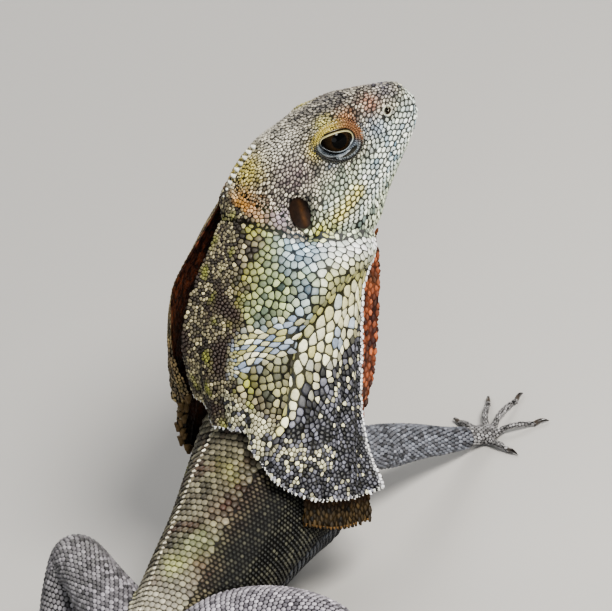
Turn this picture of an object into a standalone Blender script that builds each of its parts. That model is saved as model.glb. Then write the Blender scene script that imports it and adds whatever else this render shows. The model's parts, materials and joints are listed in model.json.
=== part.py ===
"""Frilled lizard on the floor, head raised and turned to its right, frill folded along the neck.

The forms are written in millimetres with the pelvis over the origin, the body towards +Y and the
animal's right side towards +X. The last step turns them into metres and puts the origin under the middle.
"""
import math

import bmesh
import bpy
import numpy as np
from mathutils import Vector
from mathutils.bvhtree import BVHTree
from mathutils.kdtree import KDTree

# Driving dimensions, millimetres and degrees
VOXEL = 0.62            # grain of the joined skin
CUT = 0.35              # gap between neighbouring pieces of flesh
SLIVER = 0.04           # shorter edges are closed up after thinning
EYE_RADIUS = 6.0
EYE_PLACE = (8.7, 25.0, 6.4)     # sideways, forwards and up from the middle between the ears
EYE_GAP = 0.3
LID_SIZE = (6.3, 4.0)    # half length and half height of the eye's opening
NOSTRIL = (9.3, 44.2, -0.8)      # sideways, forwards and up
NOSTRIL_RADIUS = 1.25
LID_SLOPE = -0.62       # slope of the eye's opening, down towards the snout
EARS = (15.6, 125.5, 125.7)      # middle between the ears
HEAD_TURN = 35.6
HEAD_PITCH = 18.0
FRILL_THICK = 1.1
FRILL_CLEAR = 0.75      # frill to skin
PLEATS = 7
TRIANGLES = {
    "head": 2300, "neck": 340, "torso": 760, "hips": 520,
    "tail_1": 300, "tail_2": 220, "tail_3": 170, "tail_4": 160,
    "upper_arm_right": 170, "forearm_right": 200, "hand_right": 720,
    "upper_arm_left": 170, "forearm_left": 200, "hand_left": 660,
    "thigh_right": 240, "shin_right": 200, "foot_right": 760,
    "thigh_left": 240, "shin_left": 200, "foot_left": 760,
}

# Trunk and neck: middle x y z, half width, height above and below it, turn and roll of the section, ridge
TRUNK = [
    (0, -20, 22.0, 11.0, 10.0, 11.5, 0, 0, 0.1),
    (0, -8, 24.5, 15.5, 14.0, 15.5, 0, 4, 0.2),
    (0, 8, 27.0, 18.0, 17.0, 18.5, 0, 8, 0.3),
    (0, 26, 31.0, 22.0, 19.5, 20.5, 0, 13, 0.35),
    (0, 44, 36.0, 25.5, 21.0, 24.0, 0, 16, 0.35),
    (0, 60, 41.0, 28.0, 22.0, 29.5, 0, 16, 0.35),
    (1, 76, 46.5, 29.0, 22.5, 34.0, 2, 14, 0.3),
    (2, 91, 57.0, 24.0, 22.5, 27.0, 8, 10, 0.3),
    (4, 101, 75.0, 19.0, 19.5, 20.0, 18, 6, 0.3),
    (8, 109, 92.0, 18.2, 18.0, 18.5, 28, 3, 0.25),
    (11.5, 116, 107.0, 18.5, 16.5, 18.0, 34, 0, 0.2),
    (15, 123, 119.0, 16.0, 14.0, 15.0, 36, 0, 0.1),
]
# Head: forwards from the ears, top, bottom, half width
HEAD = [
    (-21, 8, -13, 11.0),
    (-15, 13.4, -19, 15.5),
    (-8, 17.2, -25, 18.6),
    (0, 19.2, -29.4, 20.2),
    (8, 19.8, -31, 20.4),
    (17, 18.2, -29.8, 18.6),
    (25, 16.2, -25.2, 16.0),
    (34, 13.9, -21.4, 12.8),
    (41.5, 9.6, -18.2, 10.4),
    (48.0, 5.0, -15.0, 8.3),
    (52.2, 1.6, -11.4, 6.3),
    (54.2, -0.6, -8.2, 3.8),
]
# Tail: middle x y z, half width, half height
TAIL = [
    (0, -4, 22.5, 15.5, 14.5),
    (0, -22, 17.8, 15.0, 13.8),
    (-2, -50, 12.2, 12.6, 12.4),
    (-5, -90, 8.9, 9.8, 9.4),
    (-7, -140, 6.8, 7.6, 7.3),
    (-3, -200, 5.0, 5.8, 5.6),
    (5, -260, 3.8, 4.6, 4.4),
    (11, -320, 2.9, 3.7, 3.5),
    (12, -380, 2.15, 2.9, 2.7),
    (7, -432, 1.45, 2.1, 2.0),
    (4, -446, 1.1, 1.5, 1.5),
]
# Limbs: x y z and radius from the root to the wrist or ankle
LIMBS = {
    "arm_right": [(12, 86, 44, 9.5), (17, 98, 38, 9.0), (18, 108, 31, 8.0), (17.5, 117, 25.5, 7.6),
                  (20, 128, 18.5, 6.6), (23, 139, 11, 4.9), (25.2, 146.7, 6.2, 4.1)],
    "arm_left": [(-12, 86, 44, 9.5), (-23, 88, 36, 8.6), (-31, 90, 30, 7.6), (-38, 91.5, 24.5, 7.0),
                 (-39, 101, 17.5, 6.4), (-38.5, 111, 10, 4.8), (-38, 118, 6.2, 4.1)],
    "leg_right": [(8, 3, 28, 12.5), (25, 17, 29, 12.2), (42, 21.5, 28.5, 10.8), (56, 21.5, 25, 9.2),
                  (61, 17, 20.5, 8.3), (60, 5, 16.5, 7.9), (55, -8, 12.5, 6.3), (49, -21, 8.8, 4.9)],
    "leg_left": [(-8, 0, 28, 12.5), (-20, 8, 32, 12.2), (-32, 16, 37.5, 10.8), (-45, 24, 44, 8.8),
                 (-50.5, 24.5, 42.5, 8.2), (-54.5, 17, 33, 7.9), (-58, 9, 21.5, 6.4), (-60, 2, 10, 4.9)],
}
# Hands and feet: end of the palm or sole, then the tips of the digits from the inner one outwards
HANDS = {
    "hand_right": ((25.2, 146.7, 6.0), (28.5, 155.5, 2.0), (1.25, 1.0),
                   [(10.5, 162, 0.55), (16.5, 174, 0.55), (28, 176, 0.55), (44.5, 163, 0.55), (42.5, 147, 0.55)]),
    "hand_left": ((-38, 118, 6.0), (-38.5, 127, 2.0), (1.25, 1.0),
                  [(-26, 131, 0.55), (-30, 143.5, 0.55), (-41, 149.5, 0.55), (-54, 144, 0.55), (-55, 128, 0.55)]),
    "foot_right": ((49, -21, 8.0), (64.5, -16, 2.2), (1.5, 1.15),
                   [(73, -2, 0.65), (82.5, -2.5, 0.65), (94, -6, 0.65), (101.5, -20, 0.65), (71, -33, 0.65)]),
    "foot_left": ((-60, 2, 9.0), (-61, 19, 2.2), (1.5, 1.15),
                  [(-49, 30, 0.65), (-51, 42.5, 0.65), (-60, 54, 0.65), (-77, 59, 0.65), (-80, 26, 0.65)]),
}
CLAW = 4.6
# Frill: rows from the root on the head down to the free rim, each from the nape round to the throat
FRILL_RIGHT = [
    [(5, 115, 135.5), (14.5, 108, 132), (22.5, 107, 125.5), (30, 111, 117.5), (33, 122, 109), (36, 130.5, 105),
     (37, 138, 103)],
    [(4, 110, 132), (14, 101, 127.5), (23.5, 98.5, 120), (33, 100.5, 113), (39.5, 109, 108), (41.5, 119.5, 102.5),
     (39, 128, 97.5)],
    [(3, 98.5, 125), (13, 91, 120), (22.5, 89.5, 112), (33.5, 91.5, 105), (41, 99, 99.5), (41.5, 109, 95),
     (38.5, 118, 91.5)],
    [(-1, 83.5, 114.5), (8.5, 78.5, 107), (19, 78.5, 99), (29, 82, 91), (35, 90.5, 84), (37, 101, 79), (37, 108, 76)],
    [(-3.5, 74, 103.5), (6, 69.5, 92.5), (16.5, 68.5, 83.5), (26.5, 71, 74.5), (34.5, 80, 68), (37.5, 89.5, 63.5),
     (35.5, 97.5, 59.5)],
    [(-6, 72.5, 93), (4.5, 67, 82), (14, 66, 78), (24, 64, 69), (34, 67.5, 59.5), (39.5, 77.5, 53), (38.5, 88.5, 47.5)],
    [(-8, 72, 82.5), (2.5, 65.5, 73.5), (13.5, 64.5, 72.5), (21.5, 58.5, 63), (31, 57.5, 52.5), (39.5, 66, 43.5),
     (44, 82.5, 36)],
]
FRILL_LEFT = [
    [(-1.5, 118, 132.5), (-2, 119.5, 130), (-4, 125, 125.5), (-1, 133, 117.5), (8.5, 139.5, 109), (15.5, 145.5, 105),
     (22, 148.5, 103)],
    [(-3, 115.5, 130), (-7, 116, 127), (-10, 121.5, 120), (-11, 130.5, 113), (-5.5, 140, 108), (3.5, 146, 102.5),
     (12, 146.5, 97.5)],
    [(-6, 104.5, 125), (-13, 108, 119.5), (-17, 114.5, 112), (-20, 124, 105), (-17, 134, 99.5), (-8, 139, 95),
     (1, 140.5, 91.5)],
    [(-11, 87, 116), (-18, 91.5, 107), (-23, 98, 99), (-26.5, 106.5, 91), (-24, 116.5, 84), (-18.5, 125, 79),
     (-13, 129.5, 76)],
    [(-12, 79, 106.5), (-19, 79, 93), (-24, 80, 83.5), (-29, 83, 74.5), (-32, 93.5, 68), (-31, 104, 63.5),
     (-26, 111.5, 59.5)],
    [(-15, 75.5, 94), (-19, 77, 84), (-23, 79, 77.5), (-28, 81, 70), (-32.5, 85, 61), (-35.5, 92, 54.5),
     (-33, 100, 50)],
    [(-15.5, 75, 79), (-19.5, 76, 76), (-24, 77.5, 71), (-29, 78, 64), (-34, 80, 54), (-37.5, 86, 46.5),
     (-38, 95, 40)],
]
# Fold of the frill under the throat, between the right lobe and the chest
FRILL_FOLD = [
    [(28.5, 133, 101.5), (32.5, 135, 101.5), (36, 138, 102.5)],
    [(27, 121.5, 89), (32, 125, 88), (36.5, 129.5, 89)],
    [(26, 109, 75), (31, 113.5, 74), (36, 120, 76)],
    [(26.5, 94, 63), (30.5, 100.5, 61.5), (35, 108, 62)],
    [(28.5, 77, 55), (31.5, 84, 51.5), (33.5, 91, 48.5)],
    [(28.5, 64, 48), (34.5, 71.5, 43), (37.5, 82.5, 36.5)],
    [(28.5, 57.5, 39.5), (35, 64, 33), (39, 76, 27.5)],
]
# Cuts: a point on the cut, its direction, half width and half height of the blade, and which way is wide
CUTS = [
    ((11.5, 116.5, 102.5), (0.27, 0.36, 0.89), 34, 34),
    ((3.3, 98, 66), (0.13, 0.52, 0.84), 33, 33),
    ((0, 37.5, 34), (0, 0.97, 0.26), 30, 30),
    ((0, -31, 16), (0, -1, -0.12), 21, 25),
    ((-5.6, -112, 8), (0.02, -1, 0), 15, 15),
    ((-2, -212, 5), (-0.08, -1, 0), 12, 12),
    ((9, -305, 4), (-0.1, -1, 0), 9, 9),
    ((18.2, 106.5, 32.3), (0.0, 0.80, -0.60), 12, 12),
    ((19.5, 125.5, 20.3), (0.2, 0.83, -0.52), 11, 11),
    ((24.4, 144.3, 7.8), (0.25, 0.83, -0.5), 7.5, 7.5),
    ((-29, 89.5, 31.5), (-0.79, 0.2, -0.58), 12, 12),
    ((-38.8, 98, 20), (0, 0.81, -0.59), 9.5, 10.5),
    ((-38.2, 115.5, 7.8), (0.05, 0.85, -0.52), 7.5, 7.5),
    ((29.5, 18.6, 28), (0.97, 0.24, -0.04), 17.5, 17.5),
    ((56.0, 15.9, 21.3), (0.536, -0.72, -0.441), 16.5, 14, (-0.798, -0.602, 0.012)),
    ((52.2, -18, 7.5), (0.575, -0.67, -0.47), 10.5, 12, (0.745, 0.667, -0.03)),
    ((-28, 13.2, 35.6), (-0.93, 0.27, 0.25), 14.5, 14.5),
    ((-47.6, 21.7, 39.8), (0.93, 0.01, 0.36), 14.5, 12, (0.31, -0.62, -0.72)),
    ((-59.9, 3.7, 10.2), (-0.167, 0.365, -0.916), 9.5, 8, (0.057, 0.93, 0.363)),
]
SEEDS = {
    "head": (30, 146, 133), "neck": (8, 108, 86), "torso": (0, 60, 42), "hips": (0, 5, 27),
    "tail_1": (-3, -60, 11), "tail_2": (-6, -160, 7), "tail_3": (5, -260, 4), "tail_4": (12, -370, 3),
    "upper_arm_right": (18, 115, 27), "forearm_right": (22, 136, 13), "hand_right": (28, 155, 4),
    "upper_arm_left": (-36, 91, 26), "forearm_left": (-38.7, 107, 13), "hand_left": (-38, 127, 4),
    "thigh_right": (43, 21, 28), "shin_right": (58, -2, 14.5), "foot_right": (64, -16, 3),
    "thigh_left": (-36, 18, 39), "shin_left": (-56, 13, 27), "foot_left": (-61, 17, 4),
}


def unit(v):
    v = np.asarray(v, float)
    return v / np.linalg.norm(v)


def head_axes():
    """Right, forwards and up of the head."""
    turn = math.radians(HEAD_TURN)
    pitch = math.radians(HEAD_PITCH)
    flat = np.array([math.sin(turn), math.cos(turn), 0.0])
    forward = flat * math.cos(pitch) + np.array([0, 0, math.sin(pitch)])
    right = np.array([math.cos(turn), -math.sin(turn), 0.0])
    return right, forward, np.cross(right, forward)


RIGHT, FORWARD, UP = head_axes()


def on_head(sideways, forwards, up):
    return np.array(EARS) + RIGHT * sideways + FORWARD * forwards + UP * up


def curve(rows, steps):
    """Smooth curve through the rows, with steps points from each row to the next."""
    rows = np.array(rows, float)
    ends = np.vstack([2 * rows[0] - rows[1], rows, 2 * rows[-1] - rows[-2]])
    out = []
    for i in range(len(rows) - 1):
        a, b, c, d = ends[i:i + 4]
        for k in range(steps):
            t = k / steps
            out.append(0.5 * (2 * b + (c - a) * t + (2 * a - 5 * b + 4 * c - d) * t * t
                              + (3 * b - a - 3 * c + d) * t ** 3))
    out.append(rows[-1])
    return np.array(out)


def tangents(points):
    t = np.gradient(points, axis=0)
    return t / np.linalg.norm(t, axis=1)[:, None]


def add_rings(bm, rings):
    """Closed body through a list of rings of points, each end closed to its middle."""
    loops = [[bm.verts.new(p) for p in ring] for ring in rings]
    n = len(loops[0])
    for a, b in zip(loops, loops[1:]):
        for k in range(n):
            bm.faces.new((a[k], a[(k + 1) % n], b[(k + 1) % n], b[k]))
    for loop, turned in ((loops[0], True), (loops[-1], False)):
        middle = bm.verts.new(sum((v.co for v in loop), Vector()) / n)
        for k in range(n):
            pair = (loop[k], loop[(k + 1) % n])
            bm.faces.new((*(pair[::-1] if turned else pair), middle))


def outline(width, up, down, ridge, power, n):
    """Section with a flat or ridged top; returns sideways and height of n points."""
    angle = np.linspace(0, 2 * math.pi, n, endpoint=False)
    c = np.cos(angle)
    s = np.sin(angle)
    side = np.sign(c) * np.abs(c) ** (2 / power) * width
    high = np.sign(s) * np.abs(s) ** (2 / power) * np.where(s > 0, up, down)
    side = side * (1 - ridge * np.clip(s, 0, 1) * np.abs(c))
    high = high + ridge * up * 0.16 * np.exp(-(side / (0.16 * width)) ** 2) * (s > 0)
    return side, high


def add_trunk(bm):
    rows = curve(TRUNK, 8)
    line = rows[:, :3]
    along = tangents(line)
    rings = []
    for row, p, t in zip(rows, line, along):
        width, up, down, turn, roll, ridge = row[3:]
        turn = math.radians(turn)
        roll = math.radians(roll)
        right = np.array([math.cos(turn), -math.sin(turn), 0.0])
        right = unit(right - t * (right @ t))
        top = np.cross(right, t)
        right, top = right * math.cos(roll) + top * math.sin(roll), top * math.cos(roll) - right * math.sin(roll)
        side, high = outline(width, up, down, ridge, 2.15, 48)
        rings.append([p + right * a + top * b for a, b in zip(side, high)])
    add_rings(bm, rings)


def add_head(bm):
    rows = curve(HEAD, 6)
    rings = []
    for s, top, bottom, width in rows:
        middle = 0.42 * top + 0.58 * bottom
        side, high = outline(width, top - middle, middle - bottom, 0.18, 2.5, 40)
        under = np.clip(-high / (middle - bottom), 0, 1)
        side = side * (1 - 0.14 * under ** 2)
        rings.append([on_head(a, s, middle + b) for a, b in zip(side, high)])
    add_rings(bm, rings)


def add_tube(bm, rows, n, hint=(0, 0, 1)):
    """Rows are x y z and one or two half sizes: across and along the hint."""
    line = rows[:, :3]
    along = tangents(line)
    rings = []
    for row, t in zip(rows, along):
        across = unit(np.cross(t, hint))
        top = np.cross(across, t)
        wide = row[3]
        tall = row[4] if len(row) > 4 else wide
        rings.append([row[:3] + across * wide * math.cos(a) + top * tall * math.sin(a)
                      for a in np.linspace(0, 2 * math.pi, n, endpoint=False)])
    add_rings(bm, rings)


def digit_rows(start, root, tip, radii):
    """Path of one digit from inside the palm over its knuckle to the tip, with swollen joints."""
    start = np.array(start, float)
    root = np.array(root, float)
    tip = np.array(tip, float)
    span = tip - root
    length = np.linalg.norm(span)
    knuckle = root + span * 0.38 + np.array([0, 0, 0.10 * length])
    far = root + span * 0.74 + np.array([0, 0, 0.07 * length])
    thick, thin = radii
    rows = [(*start, thick * 1.3), (*root, thick * 1.12), (*knuckle, thick * 1.02),
            (*far, (thick + thin) * 0.5), (*tip, thin)]
    rows = curve(rows, 5)
    for k, share in enumerate(np.linspace(0, 1, len(rows))):
        rows[k, 3] *= 1 + 0.10 * math.cos(2 * math.pi * 3 * share)
    return rows


def add_hand(bm, wrist, palm, radii, tips):
    wrist = np.array(wrist, float)
    palm = np.array(palm, float)
    ahead = unit((palm - wrist) * (1, 1, 0))
    aside = np.array([ahead[1], -ahead[0], 0.0])
    if (np.array(tips[-1]) - np.array(tips[0])) @ aside < 0:
        aside = -aside
    reach = np.linalg.norm(palm - wrist)
    rows = curve([(*wrist, 4.0, 3.6), (*(wrist * 0.5 + palm * 0.5), 5.0, 3.4),
                  (*palm, 5.6, 2.9), (*(palm + ahead * 2.5 - np.array([0, 0, 0.6])), 3.6, 2.0)], 4)
    add_tube(bm, rows, 20)
    for k, tip in enumerate(tips):
        offset = (k - 2) * 2.0
        root = palm + aside * offset + ahead * (0.6 - 0.55 * (k - 2) ** 2) + np.array([0, 0, -0.6])
        if k == len(tips) - 1:
            root = root - ahead * reach * 0.18
        start = wrist * 0.45 + root * 0.55
        rows = digit_rows(start, root, tip, radii)
        add_tube(bm, rows, 12)
        end = np.array(tip, float)
        heading = unit((end - rows[-6, :3]) * (1, 1, 0))
        claw = [(*(end - heading * 0.6 + np.array([0, 0, 0.25])), radii[1] * 0.95),
                (*(end + heading * CLAW * 0.35 + np.array([0, 0, 0.75])), 0.85),
                (*(end + heading * CLAW * 0.75 + np.array([0, 0, 0.1])), 0.62),
                (*(end + heading * CLAW + np.array([0, 0, -0.9])), 0.42)]
        add_tube(bm, curve(claw, 4), 10)


def remeshed(bm):
    mesh = bpy.data.meshes.new("flesh")
    bmesh.ops.recalc_face_normals(bm, faces=bm.faces)
    bm.to_mesh(mesh)
    bm.free()
    thing = bpy.data.objects.new("flesh", mesh)
    bpy.context.scene.collection.objects.link(thing)
    step = thing.modifiers.new("grain", "REMESH")
    step.mode = "VOXEL"
    step.voxel_size = VOXEL
    return applied(thing)


def applied(thing):
    """Turns the modifiers of the object into its mesh."""
    graph = bpy.context.evaluated_depsgraph_get()
    mesh = bpy.data.meshes.new_from_object(thing.evaluated_get(graph))
    old = thing.data
    thing.modifiers.clear()
    thing.data = mesh
    bpy.data.meshes.remove(old)
    return thing


def points_of(mesh):
    co = np.empty(len(mesh.vertices) * 3)
    mesh.vertices.foreach_get("co", co)
    return co.reshape(-1, 3)


def set_points(mesh, co):
    mesh.vertices.foreach_set("co", co.ravel())
    mesh.update()


def normals_of(mesh):
    n = np.empty(len(mesh.vertices) * 3)
    mesh.vertex_normals.foreach_get("vector", n)
    return n.reshape(-1, 3)


def smoothed(mesh, co, weight, rounds):
    edges = np.empty(len(mesh.edges) * 2, int)
    mesh.edges.foreach_get("vertices", edges)
    a, b = edges.reshape(-1, 2).T
    count = np.bincount(np.concatenate([a, b]), minlength=len(co))[:, None]
    for _ in range(rounds):
        total = np.empty_like(co)
        for k in range(3):
            total[:, k] = (np.bincount(a, co[b, k], len(co)) + np.bincount(b, co[a, k], len(co)))
        co = co + weight[:, None] * 0.5 * (total / count - co)
    return co


def near(co, place, size):
    """Soft weight around a place, one or three sizes in the head's own directions."""
    d = co - np.array(place)
    local = np.stack([d @ RIGHT, d @ FORWARD, d @ UP], axis=1)
    return np.exp(-0.5 * ((local / np.array(size)) ** 2).sum(axis=1))


def step_down(value, edge, width):
    """1 below the edge, 0 above it, with a soft step between."""
    return 0.5 - 0.5 * np.tanh((value - edge) / (2 * width))


def shaped(mesh, co):
    """Forms of the head, the limbs and the back, pushed out of or into the skin."""
    n = normals_of(mesh)
    d = co - np.array(EARS)
    side, ahead, high = d @ RIGHT, d @ FORWARD, d @ UP
    is_head = (ahead > -16) & (np.abs(side) < 26) & (high > -28) & (high < 24)
    move = np.zeros(len(co))
    for sign in (1, -1):
        move += 2.2 * near(co, on_head(sign * 11.5, 27, 13.5), (3.5, 8.5, 3.0))
        move += 0.9 * near(co, on_head(sign * 9, 37, 10.5), (2.4, 6, 2.4))
        move += 1.6 * near(co, on_head(sign * 19, 8, -10), (6, 9, 7))
        move += 1.2 * near(co, on_head(sign * 17, -6, 8), (6, 6, 6))
        move -= 1.5 * near(co, on_head(sign * 15, 15, 5), (5, 5, 5))
        ear = ((ahead - 0.0) / 3.5) ** 2 + (high / 5.2) ** 2
        move += np.where(side * sign > 8, 0.8 * np.exp(-((np.sqrt(ear) - 1.25) / 0.28) ** 2), 0)
        move -= np.where(side * sign > 8, 2.1 * step_down(np.sqrt(ear), 0.95, 0.05), 0)
        lid_a = (ahead - EYE_PLACE[1]) * math.cos(LID_SLOPE) + (high - EYE_PLACE[2]) * math.sin(LID_SLOPE)
        lid_b = (high - EYE_PLACE[2]) * math.cos(LID_SLOPE) - (ahead - EYE_PLACE[1]) * math.sin(LID_SLOPE)
        lid = np.sqrt((lid_a / LID_SIZE[0]) ** 2 + (lid_b / LID_SIZE[1]) ** 2)
        on_side = side * sign > 5
        move += np.where(on_side, 1.15 * np.exp(-((lid - 1.22) / 0.20) ** 2), 0)
        move -= np.where(on_side, 3.2 * step_down(lid, 0.92, 0.07), 0)
        nostril = np.sqrt((ahead - NOSTRIL[1]) ** 2 + (high - NOSTRIL[2]) ** 2)
        move += np.where(side * sign > 2, 0.75 * np.exp(-((nostril - 1.9) / 0.85) ** 2), 0)
    mouth = np.interp(ahead, [2, 6, 14, 30, 46, 54], [-6.0, -9.0, -11.6, -12.4, -10.6, -9.0])
    along_lip = 1 / (1 + np.exp(-(ahead - 5) / 1.2))
    move -= 0.85 * along_lip * np.exp(-((high - mouth) / 0.55) ** 2)
    move += 0.35 * along_lip * (np.exp(-((high - mouth - 1.7) / 0.9) ** 2) + np.exp(-((high - mouth + 1.7) / 0.9) ** 2))
    move = np.where(is_head, move, 0)
    for place, size, amount in (
        ((62, 22, 25), 8, 1.2), ((-48, 26, 50), 8, 1.2), ((18, 117, 20), 5, 0.8), ((-41, 89, 24), 5, 0.8),
        ((20, 82, 60), 13, 1.6), ((-20, 82, 60), 13, 1.6), ((16, 4, 38), 10, 1.2), ((-16, 4, 38), 10, 1.2),
        ((22, 46, 50), 12, -1.2), ((-20, 46, 52), 12, -1.2), ((1, 104, 40), 10, 1.0),
    ):
        move += amount * np.exp(-0.5 * (((co - np.array(place)) / size) ** 2).sum(axis=1))
    return co + n * move[:, None]


def cutter():
    bm = bmesh.new()
    for place, direction, half_wide, half_high, *wide in CUTS:
        along = unit(direction)
        hint = (0, 0, 1) if abs(along[2]) < 0.8 else (0, 1, 0)
        across = unit(np.cross(hint, along))
        if wide:
            across = unit(wide[0])
            across = unit(across - along * (across @ along))
        top = np.cross(along, across)
        corners = []
        for k in (-1, 1):
            for a, b in ((-1, -1), (1, -1), (1, 1), (-1, 1)):
                p = np.array(place) + along * k * CUT / 2 + across * a * half_wide + top * b * half_high
                corners.append(bm.verts.new(p))
        q = corners
        for face in ((0, 3, 2, 1), (4, 5, 6, 7), (0, 1, 5, 4), (1, 2, 6, 5), (2, 3, 7, 6), (3, 0, 4, 7)):
            bm.faces.new([q[i] for i in face])
    bmesh.ops.recalc_face_normals(bm, faces=bm.faces)
    mesh = bpy.data.meshes.new("cuts")
    bm.to_mesh(mesh)
    bm.free()
    thing = bpy.data.objects.new("cuts", mesh)
    bpy.context.scene.collection.objects.link(thing)
    return thing


def subtract(thing, tool, solver):
    step = thing.modifiers.new("cut", "BOOLEAN")
    step.operation = "DIFFERENCE"
    step.solver = solver
    step.object = tool
    applied(thing)
    bpy.data.objects.remove(tool)


def islands(mesh):
    """Lists of face numbers, one for each closed surface of the mesh."""
    edges = np.empty(len(mesh.edges) * 2, int)
    mesh.edges.foreach_get("vertices", edges)
    edges = edges.reshape(-1, 2)
    label = np.arange(len(mesh.vertices))
    while True:
        low = np.minimum(label[edges[:, 0]], label[edges[:, 1]])
        before = label.copy()
        np.minimum.at(label, edges[:, 0], low)
        np.minimum.at(label, edges[:, 1], low)
        label = label[label]
        if (label == before).all():
            return label


def split(flesh):
    """One object for each named place: the closed surface nearest to it."""
    mesh = flesh.data
    co = points_of(mesh)
    label = islands(mesh)
    tree = KDTree(len(co))
    for i, p in enumerate(co):
        tree.insert(p, i)
    tree.balance()
    kinds = {name: label[tree.find(Vector(seed))[1]] for name, seed in SEEDS.items()}
    out = {}
    for name, kind in kinds.items():
        bm = bmesh.new()
        bm.from_mesh(mesh)
        gone = [v for v, k in zip(bm.verts, label) if k != kind]
        bmesh.ops.delete(bm, geom=gone, context="VERTS")
        out[name] = new_object(name, bm)
    bpy.data.objects.remove(flesh)
    return out


def new_object(name, bm):
    mesh = bpy.data.meshes.new(name)
    bm.to_mesh(mesh)
    bm.free()
    thing = bpy.data.objects.new(name, mesh)
    bpy.context.scene.collection.objects.link(thing)
    return thing


def is_closed(mesh):
    """Whether the mesh is one surface and each of its edges joins two faces."""
    bm = bmesh.new()
    bm.from_mesh(mesh)
    whole = all(e.is_manifold for e in bm.edges)
    bm.free()
    return whole and len(set(islands(mesh))) == 1


def thinned(thing, target):
    """Thins the mesh to about the target, a few triangles more where the first result isn't closed."""
    full = thing.data.copy()
    triangles = sum(len(p.vertices) - 2 for p in full.polygons)
    for extra in range(12):
        step = thing.modifiers.new("thin", "DECIMATE")
        step.ratio = min(1.0, (target + 14 * extra) / triangles)
        step.use_collapse_triangulate = True
        applied(thing)
        bm = bmesh.new()
        bm.from_mesh(thing.data)
        bmesh.ops.dissolve_degenerate(bm, dist=SLIVER, edges=bm.edges)
        bmesh.ops.triangulate(bm, faces=bm.faces)
        bm.to_mesh(thing.data)
        bm.free()
        co = points_of(thing.data)
        co[:, 2] = np.where(co[:, 2] < 0.12, 0.0, co[:, 2])
        set_points(thing.data, co)
        if is_closed(thing.data):
            return
        thing.data = full.copy()
    raise ValueError(thing.name + " can't be thinned to a closed surface")


def build_flesh():
    bm = bmesh.new()
    add_trunk(bm)
    add_head(bm)
    add_tube(bm, curve(TAIL, 8), 32)
    for name, rows in LIMBS.items():
        add_tube(bm, curve(rows, 6), 28, (0.35, 0.1, 1) if name == "leg_left" else (0, 0, 1))
    for wrist, palm, radii, tips in HANDS.values():
        add_hand(bm, wrist, palm, radii, tips)
    flesh = remeshed(bm)
    mesh = flesh.data
    co = points_of(mesh)
    fine = np.zeros(len(co))
    for wrist, palm, radii, tips in HANDS.values():
        away = np.linalg.norm((co - np.array(palm)) * (1, 1, 1), axis=1)
        fine = np.maximum(fine, 1 / (1 + np.exp((away - 46) / 1.5)) * (co[:, 2] < 9))
    weight = 1 - 0.93 * fine
    co = smoothed(mesh, co, weight, 26)
    set_points(mesh, co)
    co = shaped(mesh, co)
    co = smoothed(mesh, co, weight, 2)
    co[:, 2] = np.maximum(co[:, 2], 0)
    set_points(mesh, co)
    return flesh


def colour(thing, name, rgb, roughness):
    material = bpy.data.materials.get(name)
    if material is None:
        material = bpy.data.materials.new(name)
        material.use_nodes = True
        shader = material.node_tree.nodes["Principled BSDF"]
        shader.inputs["Base Color"].default_value = (*rgb, 1)
        shader.inputs["Roughness"].default_value = roughness
        shader.inputs["Metallic"].default_value = 0
    thing.data.materials.clear()
    thing.data.materials.append(material)


def ball(name, centre, radius, across, rings):
    bm = bmesh.new()
    bmesh.ops.create_uvsphere(bm, u_segments=across, v_segments=rings, radius=radius)
    bmesh.ops.triangulate(bm, faces=bm.faces)
    for v in bm.verts:
        v.co = Vector(on_ball(centre, v.co))
    return new_object(name, bm)


def on_ball(centre, p):
    """The ball's poles lie on the head's sideways line."""
    return np.array(centre) + RIGHT * p[2] + FORWARD * p[0] + UP * p[1]


def sheet_points(net, across, down, pleats, bulge):
    """Grid of points through the net: the rows run from root to rim. Pleats deepen towards the rim."""
    columns = np.array([curve(np.array(net)[:, k], 8) for k in range(len(net[0]))])
    rows = np.array([curve(columns[:, j], 8) for j in range(columns.shape[1])])
    v = np.linspace(0, rows.shape[0] - 1, down)
    u = np.linspace(0, rows.shape[1] - 1, across)
    grid = np.empty((down, across, 3))
    for i, a in enumerate(v):
        low = min(int(a), rows.shape[0] - 2)
        line = rows[low] * (1 - a + low) + rows[low + 1] * (a - low)
        for k in range(3):
            grid[i, :, k] = np.interp(u, np.arange(rows.shape[1]), line[:, k])
    n = sheet_normals(grid)
    s = np.linspace(0, 1, across)[None, :]
    t = np.linspace(0, 1, down)[:, None]
    wave = pleats * np.clip((t - 0.25) / 0.75, 0, 1) * np.sin(2 * math.pi * PLEATS * s + 1.5 * t)
    crease = np.interp(s, [0.48, 0.52, 0.54, 0.59, 0.65, 0.79, 1], [0.8, 0.56, 0.42, 0.355, 0.3, 0.225, 0.17])
    above = 0.5 - 0.5 * np.tanh((t - crease) / 0.03)
    low_right = np.clip((s - 0.42) / 0.15, 0, 1)
    fold = bulge * low_right * (above * np.clip(t / 0.12, 0, 1) - 0.6 * (1 - above) * np.exp(-(t - crease) / 0.12))
    return grid + n * (wave + fold)[:, :, None]


def sheet_normals(grid):
    du = np.gradient(grid, axis=1)
    dv = np.gradient(grid, axis=0)
    n = np.cross(dv, du)
    return n / np.linalg.norm(n, axis=2)[:, :, None]


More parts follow.
